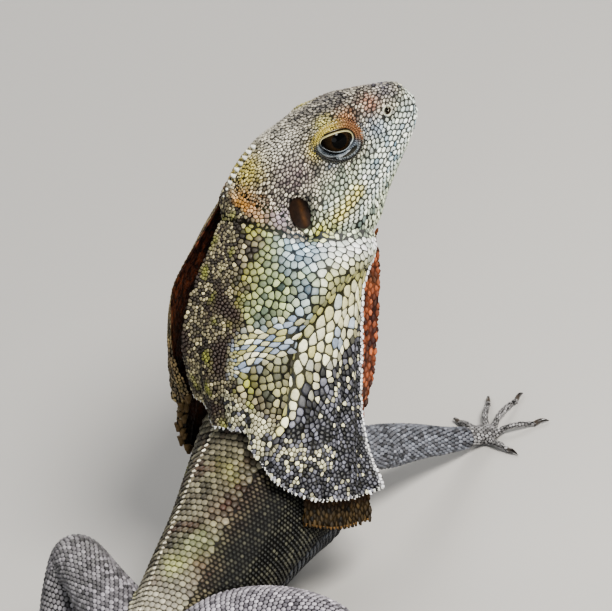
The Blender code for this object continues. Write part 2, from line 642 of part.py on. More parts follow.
def held_off(grid, tree, clear, rounds):
    """Moves the points of a sheet until it lies clear of the skin, easing the neighbours along."""
    for _ in range(rounds):
        moved = grid.copy()
        for i in np.ndindex(grid.shape[:2]):
            p = Vector(grid[i])
            place, normal, _, distance = tree.find_nearest(p)
            inside = (p - place).dot(normal) < 0
            if inside or distance < clear:
                away = normal if inside or distance < 1e-6 else (p - place) / distance
                moved[i] = np.array(place + away * clear)
        shift = moved - grid
        eased = shift.copy()
        eased[1:-1, 1:-1] = 0.6 * shift[1:-1, 1:-1] + 0.1 * (shift[:-2, 1:-1] + shift[2:, 1:-1]
                                                           + shift[1:-1, :-2] + shift[1:-1, 2:])
        stronger = np.linalg.norm(shift, axis=2) > np.linalg.norm(eased, axis=2)
        grid = grid + np.where(stronger[:, :, None], shift, eased)
    return grid


def sheet(name, net, across, down, tree, outward, pleats=1.0, bulge=0.0, teeth=1.3):
    """Thin closed body along the net, its free rim cut into teeth; outward is 1 or -1."""
    grid = sheet_points(net, across, down, pleats, bulge * outward)
    grid = held_off(grid, tree, FRILL_CLEAR + FRILL_THICK / 2, 6)
    step = grid[-1] - grid[-2]
    step = step / np.linalg.norm(step, axis=1)[:, None]
    grid[-1, 1:-1:2] += step[1:-1:2] * teeth
    edge = grid[:, 0] - grid[:, 1]
    edge = edge / np.linalg.norm(edge, axis=1)[:, None]
    grid[3:-1:2, 0] += edge[3:-1:2] * teeth
    n = sheet_normals(grid)
    bm = bmesh.new()
    half = FRILL_THICK / 2
    faces = [[[bm.verts.new(grid[i, j] + n[i, j] * half * side) for j in range(across)] for i in range(down)]
             for side in (1, -1)]
    for side, layer in enumerate(faces):
        for i in range(down - 1):
            for j in range(across - 1):
                a, b, c, d = layer[i][j], layer[i][j + 1], layer[i + 1][j + 1], layer[i + 1][j]
                pair = ((a, b, c), (a, c, d)) if (i + j) % 2 else ((a, b, d), (b, c, d))
                for tri in pair:
                    bm.faces.new(tri if side == 0 else tri[::-1])
    border = ([(0, j) for j in range(across)] + [(i, across - 1) for i in range(1, down)]
              + [(down - 1, j) for j in range(across - 2, -1, -1)] + [(i, 0) for i in range(down - 2, 0, -1)])
    for (i, j), (k, m) in zip(border, border[1:] + border[:1]):
        bm.faces.new((faces[1][i][j], faces[1][k][m], faces[0][k][m]))
        bm.faces.new((faces[1][i][j], faces[0][k][m], faces[0][i][j]))
    bmesh.ops.recalc_face_normals(bm, faces=bm.faces)
    return new_object(name, bm)


def tree_of(things):
    points = []
    faces = []
    for thing in things:
        start = len(points)
        points += [Vector(p) for p in points_of(thing.data)]
        faces += [[start + i for i in p.vertices] for p in thing.data.polygons]
    return BVHTree.FromPolygons(points, faces)


def main():
    for thing in list(bpy.data.objects):
        bpy.data.objects.remove(thing)
    flesh = build_flesh()
    skin = tree_of([flesh])
    subtract(flesh, cutter(), "MANIFOLD")
    parts = split(flesh)
    for name, thing in parts.items():
        thinned(thing, TRIANGLES[name])
    for sign, side in ((1, "right"), (-1, "left")):
        centre = on_head(sign * EYE_PLACE[0], EYE_PLACE[1], EYE_PLACE[2])
        socket = ball("socket", centre, EYE_RADIUS + EYE_GAP, 20, 12)
        subtract(parts["head"], socket, "MANIFOLD")
        place = on_head(sign * NOSTRIL[0], NOSTRIL[1], NOSTRIL[2])
        subtract(parts["head"], ball("nostril", place, NOSTRIL_RADIUS, 9, 6), "MANIFOLD")
        parts["eye_" + side] = ball("eye_" + side, centre, EYE_RADIUS, 18, 10)
    parts["frill_right"] = sheet("frill_right", FRILL_RIGHT, 29, 19, skin, 1, 1.0, 2.9)
    parts["frill_left"] = sheet("frill_left", FRILL_LEFT, 23, 15, skin, -1, 1.0, 1.5)
    parts["frill_fold"] = sheet("frill_fold", FRILL_FOLD, 6, 17, skin, 1, 0.3, 0.0, 0.6)
    for name, thing in parts.items():
        if name.startswith("eye"):
            colour(thing, "eye", (0.055, 0.032, 0.018), 0.12)
        elif name.startswith("frill"):
            colour(thing, "skin_" + name, (0.25, 0.24, 0.16) if name != "frill_fold" else (0.33, 0.13, 0.05), 0.66)
        else:
            colour(thing, "skin_" + name, (0.21, 0.20, 0.13), 0.62)
    low = np.min([points_of(t.data).min(axis=0) for t in parts.values()], axis=0)
    high = np.max([points_of(t.data).max(axis=0) for t in parts.values()], axis=0)
    shift = np.array([-(low[0] + high[0]) / 2, -(low[1] + high[1]) / 2, -low[2]])
    for thing in parts.values():
        set_points(thing.data, (points_of(thing.data) + shift) * 0.001)


main()
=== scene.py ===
"""Frilled lizard at rest with its head raised: skin, scales, frill, eyes, claws, light and camera.

The animal is worked out in millimetres with the pelvis over the origin, its body towards +Y and its
right side towards +X. placed() turns that into the frame's metres.
"""
import json
import math

import bmesh
import bpy
import numpy as np
from mathutils import Matrix, Vector, noise
from mathutils.bvhtree import BVHTree
from mathutils.kdtree import KDTree

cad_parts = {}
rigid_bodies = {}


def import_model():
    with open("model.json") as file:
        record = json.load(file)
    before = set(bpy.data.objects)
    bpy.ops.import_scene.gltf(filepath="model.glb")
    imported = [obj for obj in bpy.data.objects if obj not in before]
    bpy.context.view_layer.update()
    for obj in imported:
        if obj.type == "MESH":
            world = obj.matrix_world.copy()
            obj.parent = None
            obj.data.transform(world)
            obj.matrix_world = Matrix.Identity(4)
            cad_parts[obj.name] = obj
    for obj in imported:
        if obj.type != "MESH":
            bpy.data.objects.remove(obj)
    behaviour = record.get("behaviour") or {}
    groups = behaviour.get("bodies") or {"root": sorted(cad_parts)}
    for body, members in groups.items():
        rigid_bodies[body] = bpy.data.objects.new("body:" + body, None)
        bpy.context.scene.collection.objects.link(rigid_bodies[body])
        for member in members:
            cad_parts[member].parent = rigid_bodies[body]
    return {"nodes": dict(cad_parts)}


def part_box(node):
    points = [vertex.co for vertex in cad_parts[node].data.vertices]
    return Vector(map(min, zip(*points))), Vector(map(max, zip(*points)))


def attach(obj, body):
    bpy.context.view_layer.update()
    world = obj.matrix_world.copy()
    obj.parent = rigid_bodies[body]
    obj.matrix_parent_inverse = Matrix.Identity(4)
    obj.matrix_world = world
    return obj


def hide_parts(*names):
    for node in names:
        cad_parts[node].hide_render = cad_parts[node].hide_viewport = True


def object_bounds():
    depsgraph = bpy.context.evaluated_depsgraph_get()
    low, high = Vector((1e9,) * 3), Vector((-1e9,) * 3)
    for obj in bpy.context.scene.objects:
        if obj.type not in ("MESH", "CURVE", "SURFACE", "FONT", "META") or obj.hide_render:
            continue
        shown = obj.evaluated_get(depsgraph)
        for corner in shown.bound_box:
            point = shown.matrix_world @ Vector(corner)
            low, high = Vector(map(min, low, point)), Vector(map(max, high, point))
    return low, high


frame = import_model()
frame_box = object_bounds()

# The body's own values, the same as in the solids: millimetres and degrees
Z = np.array([0.0, 0.0, 1.0])
EARS = np.array([15.6, 125.5, 125.7])
HEAD_TURN = 35.6
HEAD_PITCH = 18.0
EYE_PLACE = (8.7, 25.0, 6.4)
EYE_RADIUS = 6.0
LID_SLOPE = -0.62
LID_SIZE = (6.3, 4.0)
OPENING = (5.5, 3.2)    # half length and half height of the gap between the lids
LID_REACH = 3.0         # how far the lids' own skin reaches out from the opening
LID_SCALE = 0.8
LIP_SCALE = (2.2, 1.35)
BOX_SLACK = 0.00001     # metres
CREST_STEP = 2.0        # from spine to spine along the back
NOSTRIL = (44.2, -0.8)
SKIN_GRAIN = 0.55
SKIN_DEPTH = 0.42
SKIN_TRIANGLES = 185000
PLEATS = 7
FINE_PLEATS = 3.3       # small pleats on each of them
FRILL_CLEAR = 1.3
ROOT_STEP = 1.1         # from row to row where the frill grows out of the skin, less below the ear
ROOT_ROWS = 7           # rows of the sheet that bend down to the skin
EAR_SPOT = (-0.5, -0.4)  # ahead and high of the place between the ears
EAR_SIZE = (3.7, 5.9)   # half width and half height
EAR_LEAN = 62.4
EARDRUM = (1.06, 0.97, 0.85, 0.68, 0.48, 0.25)  # its rings, as shares of the ear
BACK_SHARE = 0.27       # share of the way round the trunk with broad scales
FLANK_SHARE = 0.72      # and with small ones, before the belly
ROOT_LOW = -0.3         # height of the first row over the skin
CHEEK_RISE = (2.3, 4.5)  # ahead and high: how far up the cheek the frill starts over its lower edge
SCALE_SUNK = 0.16       # how far a scale's foot lies under the skin
HALF_SHEET = 0.36       # half the thickness of the frill
TAIL_SPLIT = -140       # the scales of the tail behind this are a piece of their own
# Pale colour of the scales' crowns: a little wear, and painted sheen
PALE_WEAR_AND_SHEEN = (0.66, 0.66, 0.58, 1)
GEOMETRY = "NodeSocketGeometry"
MATERIAL = "NodeSocketMaterial"
FLOAT = "NodeSocketFloat"
VIEW_TURN = (46.4, 27.0, 25.0)  # camera round the animal, up, and about its own line of sight
VIEW_AIM = (27.93, 101.17, 97.23)
VIEW_AWAY = 1200        # from the camera to the aim, and the width that it sees there
VIEW_WIDE = 204
LIGHT_AIM = (0.02, 0.2, 0.08)
LAMPS = (               # place in metres, size, watts, tint
    ("key", (0.95, 0.05, 0.95), 0.42, 28, (1.0, 0.97, 0.92)),
    ("fill", (0.9, -0.9, 0.45), 0.9, 8, (0.93, 0.96, 1.0)),
    ("back", (-0.7, 0.9, 0.8), 0.6, 5, (1.0, 0.98, 0.95)),
)
TRUNK = [
    (0, -20, 22.0, 11.0, 10.0, 11.5, 0, 0, 0.1),
    (0, -8, 24.5, 15.5, 14.0, 15.5, 0, 4, 0.2),
    (0, 8, 27.0, 18.0, 17.0, 18.5, 0, 8, 0.3),
    (0, 26, 31.0, 22.0, 19.5, 20.5, 0, 13, 0.35),
    (0, 44, 36.0, 25.5, 21.0, 24.0, 0, 16, 0.35),
    (0, 60, 41.0, 28.0, 22.0, 29.5, 0, 16, 0.35),
    (1, 76, 46.5, 29.0, 22.5, 34.0, 2, 14, 0.3),
    (2, 91, 57.0, 24.0, 22.5, 27.0, 8, 10, 0.3),
    (4, 101, 75.0, 19.0, 19.5, 20.0, 18, 6, 0.3),
    (8, 109, 92.0, 18.2, 18.0, 18.5, 28, 3, 0.25),
    (11.5, 116, 107.0, 18.5, 16.5, 18.0, 34, 0, 0.2),
    (15, 123, 119.0, 16.0, 14.0, 15.0, 36, 0, 0.1),
]
HEAD = [
    (-21, 8, -13, 11.0), (-15, 13.4, -19, 15.5), (-8, 17.2, -25, 18.6), (0, 19.2, -29.4, 20.2),
    (8, 19.8, -31, 20.4), (17, 18.2, -29.8, 18.6), (25, 16.2, -25.2, 16.0), (34, 13.9, -21.4, 12.8),
    (41.5, 9.6, -18.2, 10.4), (48.0, 5.0, -15.0, 8.3), (52.2, 1.6, -11.4, 6.3), (54.2, -0.6, -8.2, 3.8),
]
TAIL = [
    (0, -4, 22.5, 15.5, 14.5), (0, -22, 17.8, 15.0, 13.8), (-2, -50, 12.2, 12.6, 12.4),
    (-5, -90, 8.9, 9.8, 9.4), (-7, -140, 6.8, 7.6, 7.3), (-3, -200, 5.0, 5.8, 5.6),
    (5, -260, 3.8, 4.6, 4.4), (11, -320, 2.9, 3.7, 3.5), (12, -380, 2.15, 2.9, 2.7),
    (7, -432, 1.45, 2.1, 2.0), (4, -446, 1.1, 1.5, 1.5),
]
LIMBS = {
    "arm_right": [(12, 86, 44, 9.5), (17, 98, 38, 9.0), (18, 108, 31, 8.0), (17.5, 117, 25.5, 7.6),
        (20, 128, 18.5, 6.6), (23, 139, 11, 4.9), (25.2, 146.7, 6.2, 4.1)],
    "arm_left": [(-12, 86, 44, 9.5), (-23, 88, 36, 8.6), (-31, 90, 30, 7.6), (-38, 91.5, 24.5, 7.0),
        (-39, 101, 17.5, 6.4), (-38.5, 111, 10, 4.8), (-38, 118, 6.2, 4.1)],
    "leg_right": [(8, 3, 28, 12.5), (25, 17, 29, 12.2), (42, 21.5, 28.5, 10.8), (56, 21.5, 25, 9.2),
        (61, 17, 20.5, 8.3), (60, 5, 16.5, 7.9), (55, -8, 12.5, 6.3), (49, -21, 8.8, 4.9)],
    "leg_left": [(-8, 0, 28, 12.5), (-20, 8, 32, 12.2), (-32, 16, 37.5, 10.8), (-45, 24, 44, 8.8),
        (-50.5, 24.5, 42.5, 8.2), (-54.5, 17, 33, 7.9), (-58, 9, 21.5, 6.4), (-60, 2, 10, 4.9)],
}
HANDS = {
    "hand_right": ((25.2, 146.7, 6.0), (28.5, 155.5, 2.0), (1.25, 1.0), [
        (10.5, 162, 0.55), (16.5, 174, 0.55), (28, 176, 0.55), (44.5, 163, 0.55), (42.5, 147, 0.55)]),
    "hand_left": ((-38, 118, 6.0), (-38.5, 127, 2.0), (1.25, 1.0), [
        (-26, 131, 0.55), (-30, 143.5, 0.55), (-41, 149.5, 0.55), (-54, 144, 0.55), (-55, 128, 0.55)]),
    "foot_right": ((49, -21, 8.0), (64.5, -16, 2.2), (1.5, 1.15), [
        (73, -2, 0.65), (82.5, -2.5, 0.65), (94, -6, 0.65), (101.5, -20, 0.65), (71, -33, 0.65)]),
    "foot_left": ((-60, 2, 9.0), (-61, 19, 2.2), (1.5, 1.15), [
        (-49, 30, 0.65), (-51, 42.5, 0.65), (-60, 54, 0.65), (-77, 59, 0.65), (-80, 26, 0.65)]),
}
CLAW = 4.6              # length of a claw
FRILL_RIGHT = [
    [(5, 115, 135.5), (14.5, 108, 132), (22.5, 107, 125.5), (30, 111, 117.5), (33, 122, 109),
     (36, 130.5, 105), (37, 138, 103)],
    [(4, 110, 132), (14, 101, 127.5), (23.5, 98.5, 120), (33, 100.5, 113), (39.5, 109, 108),
     (41.5, 119.5, 102.5), (39, 128, 97.5)],
    [(3, 98.5, 125), (13, 91, 120), (22.5, 89.5, 112), (33.5, 91.5, 105), (41, 99, 99.5), (41.5, 109, 95),
     (38.5, 118, 91.5)],
    [(-1, 83.5, 114.5), (8.5, 78.5, 107), (19, 78.5, 99), (29, 82, 91), (35, 90.5, 84), (37, 101, 79),
     (37, 108, 76)],
    [(-3.5, 74, 103.5), (6, 69.5, 92.5), (16.5, 68.5, 83.5), (26.5, 71, 74.5), (34.5, 80, 68),
     (37.5, 89.5, 63.5), (35.5, 97.5, 59.5)],
    [(-6, 72.5, 93), (4.5, 67, 82), (14, 66, 78), (24, 64, 69), (34, 67.5, 59.5), (39.5, 77.5, 53),
     (38.5, 88.5, 47.5)],
    [(-8, 72, 82.5), (2.5, 65.5, 73.5), (13.5, 64.5, 72.5), (21.5, 58.5, 63), (31, 57.5, 52.5),
     (39.5, 66, 43.5), (44, 82.5, 36)],
]
FRILL_LEFT = [
    [(-1.5, 118, 132.5), (-2, 119.5, 130), (-4, 125, 125.5), (-1, 133, 117.5), (8.5, 139.5, 109),
     (15.5, 145.5, 105), (22, 148.5, 103)],
    [(-3, 115.5, 130), (-7, 116, 127), (-10, 121.5, 120), (-11, 130.5, 113), (-5.5, 140, 108),
     (3.5, 146, 102.5), (12, 146.5, 97.5)],
    [(-6, 104.5, 125), (-13, 108, 119.5), (-17, 114.5, 112), (-20, 124, 105), (-17, 134, 99.5),
     (-8, 139, 95), (1, 140.5, 91.5)],
    [(-11, 87, 116), (-18, 91.5, 107), (-23, 98, 99), (-26.5, 106.5, 91), (-24, 116.5, 84),
     (-18.5, 125, 79), (-13, 129.5, 76)],
    [(-12, 79, 106.5), (-19, 79, 93), (-24, 80, 83.5), (-29, 83, 74.5), (-32, 93.5, 68), (-31, 104, 63.5),
     (-26, 111.5, 59.5)],
    [(-15, 75.5, 94), (-19, 77, 84), (-23, 79, 77.5), (-28, 81, 70), (-32.5, 85, 61), (-35.5, 92, 54.5),
     (-33, 100, 50)],
    [(-15.5, 75, 79), (-19.5, 76, 76), (-24, 77.5, 71), (-29, 78, 64), (-34, 80, 54), (-37.5, 86, 46.5),
     (-38, 95, 40)],
]
FRILL_FOLD = [
    [(28.5, 133, 101.5), (32.5, 135, 101.5), (36, 138, 102.5)],
    [(27, 121.5, 89), (32, 125, 88), (36.5, 129.5, 89)],
    [(26, 109, 75), (31, 113.5, 74), (36, 120, 76)],
    [(26.5, 94, 63), (30.5, 100.5, 61.5), (35, 108, 62)],
    [(28.5, 77, 55), (31.5, 84, 51.5), (33.5, 91, 48.5)],
    [(28.5, 64, 48), (34.5, 71.5, 43), (37.5, 82.5, 36.5)],
    [(28.5, 57.5, 39.5), (35, 64, 33), (39, 76, 27.5)],
]
# Forms of both sides of the head: sideways, ahead and high of the ears, size the same way, amount
HEAD_FORMS = (
    ((11.5, 27, 13.5), (3.5, 8.5, 3.0), 2.2), ((9, 37, 10.5), (2.4, 6, 2.4), 0.9),
    ((19, 8, -10), (6, 9, 7), 1.6), ((17, -6, 8), (6, 6, 6), 1.2), ((15, 15, 5), (5, 5, 5), -1.5),
)
RIGHT_LOBE = "frill_lobe_right"
LEFT_LOBE = "frill_lobe_left"
FOLD = "frill_throat_fold"
# Spines on the rims: step from one to the next, colour, length and width
RIMS = {
    RIGHT_LOBE: (1.5, (228, 228, 222), 1.15, 1.45),
    LEFT_LOBE: (2.9, (104, 86, 60), 2.5, 3.0),
    FOLD: (1.3, (112, 86, 54), 0.8, 1.3),
}
# Finishes of horn and skin: key, name of the material and what differs from the usual
# In them, foot sets the painted shade at the foot of each scale; the crown's pale colour is a little wear
# with painted sheen
FINISHES = (
    ("skin", "scales", dict(foot=0.03, wear=0.06, shine=0.28)),
    ("frill", "frill_scales", dict(foot=0.015, wear=0.08, shine=0.28)),
    ("inside", "frill_inside_scales", dict(foot=0.15, wear=0.02, rough=(0.5, 0.7), shine=0.2)),
    ("bare", "bare_skin", dict(size=1400.0, depth=0.4, rough=(0.5, 0.75), plates=False, shine=0.12)),
    ("moist", "lid_skin", dict(size=2200.0, depth=0.25, rough=(0.3, 0.5), plates=False)),
    ("drum", "eardrum_skin", dict(size=700.0, depth=0.4, rough=(0.45, 0.6), plates=False, shine=0.12)),
    ("claw", "claw_horn", dict(size=500.0, rough=(0.2, 0.4), plates=False, bump=0.1, coat_weight=0.3)),
)
# Soft swellings and hollows of the trunk and limbs: place, size, amount
SWELLINGS = (
    ((62, 22, 25), 8, 1.2), ((-48, 26, 50), 8, 1.2), ((18, 117, 20), 5, 0.8), ((-41, 89, 24), 5, 0.8),
    ((20, 82, 60), 13, 1.6), ((-20, 82, 60), 13, 1.6), ((16, 4, 38), 10, 1.2), ((-16, 4, 38), 10, 1.2),
    ((22, 46, 50), 12, -1.2), ((-20, 46, 52), 12, -1.2), ((1, 104, 40), 10, 1.0),
)


def unit(v):
    v = np.asarray(v, float)
    return v / np.maximum(np.linalg.norm(v, axis=-1, keepdims=True), 1e-9)


def dot(a, b):
    return (a * b).sum(axis=-1)


def length(v):
    return np.linalg.norm(v, axis=-1)


def bell(value, middle, width, power=2):
    """1 at the middle, falling to 0 on both sides; a higher power makes the top flatter."""
    return np.exp(-((value - middle) / width) ** power)


def steps_to(path):
    """Way along a line of points from its first one to each of them."""
    return np.concatenate([[0], np.cumsum(length(np.diff(path, axis=0)))])


def mesh_from(bm, name):
    """The mesh of a finished bmesh, which is let go."""
    mesh = bpy.data.meshes.new(name)
    bm.to_mesh(mesh)
    bm.free()
    return mesh


def head_axes():
    """Right, forwards and up of the head."""
    turn = math.radians(HEAD_TURN)
    pitch = math.radians(HEAD_PITCH)
    flat = np.array([math.sin(turn), math.cos(turn), 0.0])
    forward = flat * math.cos(pitch) + np.array([0, 0, math.sin(pitch)])
    right = np.array([math.cos(turn), -math.sin(turn), 0.0])
    return right, forward, np.cross(right, forward)


RIGHT, FORWARD, UP = head_axes()


def on_head(sideways, forwards, up):
    return EARS + RIGHT * sideways + FORWARD * forwards + UP * up


def eye_centre(sign):
    return on_head(sign * EYE_PLACE[0], EYE_PLACE[1], EYE_PLACE[2])


def frame_shift():
    """From the animal's millimetres to the frame's, read off the solid of the right eye."""
    low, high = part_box("eye_right")
    return (np.array(low) + np.array(high)) * 500 - eye_centre(1)


SHIFT = frame_shift()


def placed(points):
    return (np.asarray(points) + SHIFT) * 0.001


def paint(*rgb):
    """A colour as a painter names it, 0 to 255, in the renderer's linear numbers."""
    c = np.array(rgb, float) / 255
    return np.where(c <= 0.04045, c / 12.92, ((c + 0.055) / 1.055) ** 2.4)


def linked(name, data):
    thing = bpy.data.objects.new(name, data)
    bpy.context.scene.collection.objects.link(thing)
    return thing


def new_material(name):
    material = bpy.data.materials.new(name)
    material.use_nodes = True
    return material, Wiring(material.node_tree), material.node_tree.nodes["Principled BSDF"].inputs


class Wiring:
    """A node tree that nodes are added to; an input takes a plain value or another node's output."""

    def __init__(self, tree):
        self.tree = tree

    def add(self, kind, inputs, **settings):
        made = self.tree.nodes.new(kind)
        for key, value in settings.items():
            setattr(made, key, value)
        for key, value in inputs.items():
            self.feed(made.inputs[key], value)
        return made

    def feed(self, socket, value):
        if isinstance(value, bpy.types.NodeSocket):
            self.tree.links.new(value, socket)
        else:
            socket.default_value = value

    def maths(self, kind, a, b):
        return self.add("ShaderNodeMath", {0: a, 1: b}, operation=kind).outputs[0]

    def vector(self, kind, a, b):
        made = self.add("ShaderNodeVectorMath", {0: a, "Scale" if kind == "SCALE" else 1: b}, operation=kind)
        return made.outputs["Value" if kind == "DOT_PRODUCT" else "Vector"]

    def named(self, name, kind):
        return self.add("GeometryNodeInputNamedAttribute", {"Name": name}, data_type=kind).outputs[0]

    def stored(self, name, output):
        return self.add("ShaderNodeAttribute", {}, attribute_name=name).outputs[output]

    def spread(self, value, low, high, to_low, to_high):
        """The value between low and high, spread from to_low to to_high."""
        return self.add("ShaderNodeMapRange", {"Value": value, "From Min": low, "From Max": high,
                                               "To Min": to_low, "To Max": to_high}).outputs[0]

    def finish(self, shape, material, end):
        """The end of a geometry tree: smooth faces, real geometry and its material."""
        smooth = self.add("GeometryNodeSetShadeSmooth", {"Geometry": shape})
        real = self.add("GeometryNodeRealizeInstances", {"Geometry": smooth.outputs[0]})
        done = self.add("GeometryNodeSetMaterial", {"Geometry": real.outputs[0], "Material": material})
        self.feed(end.inputs[0], done.outputs[0])
        return self.tree


def group_tree(name, inputs, outputs, kind="ShaderNodeTree"):
    """A node tree with named inputs and outputs: its wiring, the inputs' sockets and the node at its end."""
    tree = bpy.data.node_groups.new(name, kind)
    for label, socket_type, value in inputs:
        socket = tree.interface.new_socket(label, in_out="INPUT", socket_type=socket_type)
        if value is not None:
            socket.default_value = value
    for label, socket_type in outputs:
        tree.interface.new_socket(label, in_out="OUTPUT", socket_type=socket_type)
    return Wiring(tree), tree.nodes.new("NodeGroupInput").outputs, tree.nodes.new("NodeGroupOutput")


def tree_of_points(points):
    """The points as a tree that finds the nearest ones."""
    tree = KDTree(len(points))
    for i, p in enumerate(points.tolist()):
        tree.insert(p, i)
    tree.balance()
    return tree


def softened(share):
    """From 0 to 1 with a soft start and a soft end."""
    return share * share * (3 - 2 * share)


# Camera, floor and light
def set_camera():
    a, e, q = (math.radians(x) for x in VIEW_TURN)
    back = np.array([math.sin(a) * math.cos(e), -math.cos(a) * math.cos(e), math.sin(e)])
    right = np.array([math.cos(a), math.sin(a), 0.0])
    up = np.array([-math.sin(a) * math.sin(e), math.cos(a) * math.sin(e), math.cos(e)])
    across = right * math.cos(q) - up * math.sin(q)
    over = right * math.sin(q) + up * math.cos(q)
    data = bpy.data.cameras.new("camera")
    data.sensor_width = 36
    data.lens = data.sensor_width * VIEW_AWAY / VIEW_WIDE
    data.clip_end = 20
    camera = linked("camera", data)
    turn = Matrix([across, over, back]).transposed().to_4x4()
    camera.matrix_world = Matrix.Translation(Vector(placed(VIEW_AIM) + back * VIEW_AWAY / 1000)) @ turn
    bpy.context.scene.camera = camera


def area_light(name, place, size, watts, tint):
    data = bpy.data.lights.new(name, "AREA")
    data.shape = "DISK"
    data.size = size
    data.energy = watts
    data.color = tint
    lamp = linked(name, data)
    lamp.location = place
    lamp.rotation_euler = (Vector(LIGHT_AIM) - Vector(place)).to_track_quat("-Z", "Y").to_euler()


def set_stage():
    floor = bmesh.new()
    bmesh.ops.create_grid(floor, x_segments=2, y_segments=2, size=3.0)
    mesh = mesh_from(floor, "floor")
    thing = linked("floor", mesh)
    thing.location.z = -0.0002
    material, _, shader = new_material("floor")
    shader["Base Color"].default_value = (0.50, 0.485, 0.46, 1)
    shader["Roughness"].default_value = 0.85
    mesh.materials.append(material)
    world = bpy.data.worlds.new("studio")
    world.use_nodes = True
    sky = world.node_tree.nodes["Background"]
    sky.inputs["Color"].default_value = (0.93, 0.96, 1.0, 1)
    sky.inputs["Strength"].default_value = 0.36
    bpy.context.scene.world = world
    bpy.context.scene.view_settings.look = "AgX - Medium High Contrast"
    for lamp in LAMPS:
        area_light(*lamp)


# Flesh
def curve(rows, steps):
    """Smooth curve through the rows, with steps points from each row to the next."""
    rows = np.array(rows, float)
    ends = np.vstack([2 * rows[0] - rows[1], rows, 2 * rows[-1] - rows[-2]])
    out = []
    for i in range(len(rows) - 1):
        a, b, c, d = ends[i:i + 4]
        for k in range(steps):
            t = k / steps
            out.append(0.5 * (2 * b + (c - a) * t + (2 * a - 5 * b + 4 * c - d) * t * t
                              + (3 * b - a - 3 * c + d) * t ** 3))
    out.append(rows[-1])
    return np.array(out)


def outline(width, up, down, ridge, power, n):
    """Section with a flat or ridged top; returns sideways and height of n points."""
    angle = np.linspace(0, 2 * math.pi, n, endpoint=False)
    c = np.cos(angle)
    s = np.sin(angle)
    side = np.sign(c) * np.abs(c) ** (2 / power) * width
    high = np.sign(s) * np.abs(s) ** (2 / power) * np.where(s > 0, up, down)
    side = side * (1 - ridge * np.clip(s, 0, 1) * np.abs(c))
    high = high + ridge * up * 0.16 * np.exp(-(side / (0.16 * width)) ** 2) * (s > 0)
    return side, high


def trunk_rings():
    rows = curve(TRUNK, 8)
    line = rows[:, :3]
    along = unit(np.gradient(line, axis=0))
    rings = []
    for row, p, t in zip(rows, line, along):
        width, up, down, turn, roll, ridge = row[3:]
        turn = math.radians(turn)
        roll = math.radians(roll)
        right = np.array([math.cos(turn), -math.sin(turn), 0.0])
        right = unit(right - t * (right @ t))
        top = np.cross(right, t)
        right, top = (right * math.cos(roll) + top * math.sin(roll),
                      top * math.cos(roll) - right * math.sin(roll))
        side, high = outline(width, up, down, ridge, 2.15, 48)
        rings.append([p + right * a + top * b for a, b in zip(side, high)])
    return np.array(rings)


def head_rings():
    rings = []
    for s, top, bottom, width in curve(HEAD, 6):
        middle = 0.42 * top + 0.58 * bottom
        side, high = outline(width, top - middle, middle - bottom, 0.18, 2.5, 40)
        under = np.clip(-high / (middle - bottom), 0, 1)
        side = side * (1 - 0.14 * under ** 2)
        rings.append([on_head(a, s, middle + b) for a, b in zip(side, high)])
    return np.array(rings)


def tube_rings(rows, n, hint=(0, 0, 1)):
    """Rows are x y z and one or two half sizes: across and along the hint."""
    line = rows[:, :3]
    along = unit(np.gradient(line, axis=0))
    rings = []
    for row, t in zip(rows, along):
        across = unit(np.cross(t, hint))
        top = np.cross(across, t)
        wide = row[3]
        tall = row[4] if len(row) > 4 else wide
        rings.append([row[:3] + across * wide * math.cos(a) + top * tall * math.sin(a)
                      for a in np.linspace(0, 2 * math.pi, n, endpoint=False)])
    return np.array(rings)


def digit_rows(start, root, tip, radii):
    """Path of one digit from inside the palm over its knuckle to the tip, with swollen joints."""
    span = tip - root
    reach = np.linalg.norm(span)
    knuckle = root + span * 0.38 + Z * (0.10 * reach)
    far = root + span * 0.74 + Z * (0.07 * reach)
    thick, thin = radii
    rows = [(*start, thick * 1.3), (*root, thick * 1.12), (*knuckle, thick * 1.02),
            (*far, (thick + thin) * 0.5), (*tip, thin)]
    rows = curve(rows, 5)
    for k, share in enumerate(np.linspace(0, 1, len(rows))):
        rows[k, 3] *= 1 + 0.10 * math.cos(2 * math.pi * 3 * share)
    return rows


def hand_rings(wrist, palm, radii, tips):
    """Rings of the palm and of each digit, and the claws' rows."""
    wrist = np.array(wrist, float)
    palm = np.array(palm, float)
    ahead = unit((palm - wrist) * (1, 1, 0))
    aside = np.array([ahead[1], -ahead[0], 0.0])
    if (np.array(tips[-1]) - np.array(tips[0])) @ aside < 0:
        aside = -aside
    reach = np.linalg.norm(palm - wrist)
    rows = curve([(*wrist, 4.0, 3.6), (*(wrist * 0.5 + palm * 0.5), 5.0, 3.4),
                  (*palm, 5.6, 2.9), (*(palm + ahead * 2.5 - Z * 0.6), 3.6, 2.0)], 4)
    parts = [tube_rings(rows, 20)]
    claws = []
    for k, tip in enumerate(tips):
        offset = (k - 2) * 2.0
        root = palm + aside * offset + ahead * (0.6 - 0.55 * (k - 2) ** 2) - Z * 0.6
        if k == len(tips) - 1:
            root = root - ahead * reach * 0.18
        start = wrist * 0.45 + root * 0.55
        end = np.array(tip, float)
        rows = digit_rows(start, root, end, radii)
        parts.append(tube_rings(rows, 12))
        heading = unit((end - rows[-6, :3]) * (1, 1, 0))
        claws.append((end, heading, radii[1]))
    return parts, claws


def add_rings(bm, rings):
    """Closed body through a list of rings of points, each end closed to its middle."""
    loops = [[bm.verts.new(p) for p in ring] for ring in rings]
    n = len(loops[0])
    for a, b in zip(loops, loops[1:]):
        for k in range(n):
            bm.faces.new((a[k], a[(k + 1) % n], b[(k + 1) % n], b[k]))
    for loop, turned in ((loops[0], True), (loops[-1], False)):
        middle = bm.verts.new(sum((v.co for v in loop), Vector()) / n)
        for k in range(n):
            pair = (loop[k], loop[(k + 1) % n])
            bm.faces.new((*(pair[::-1] if turned else pair), middle))


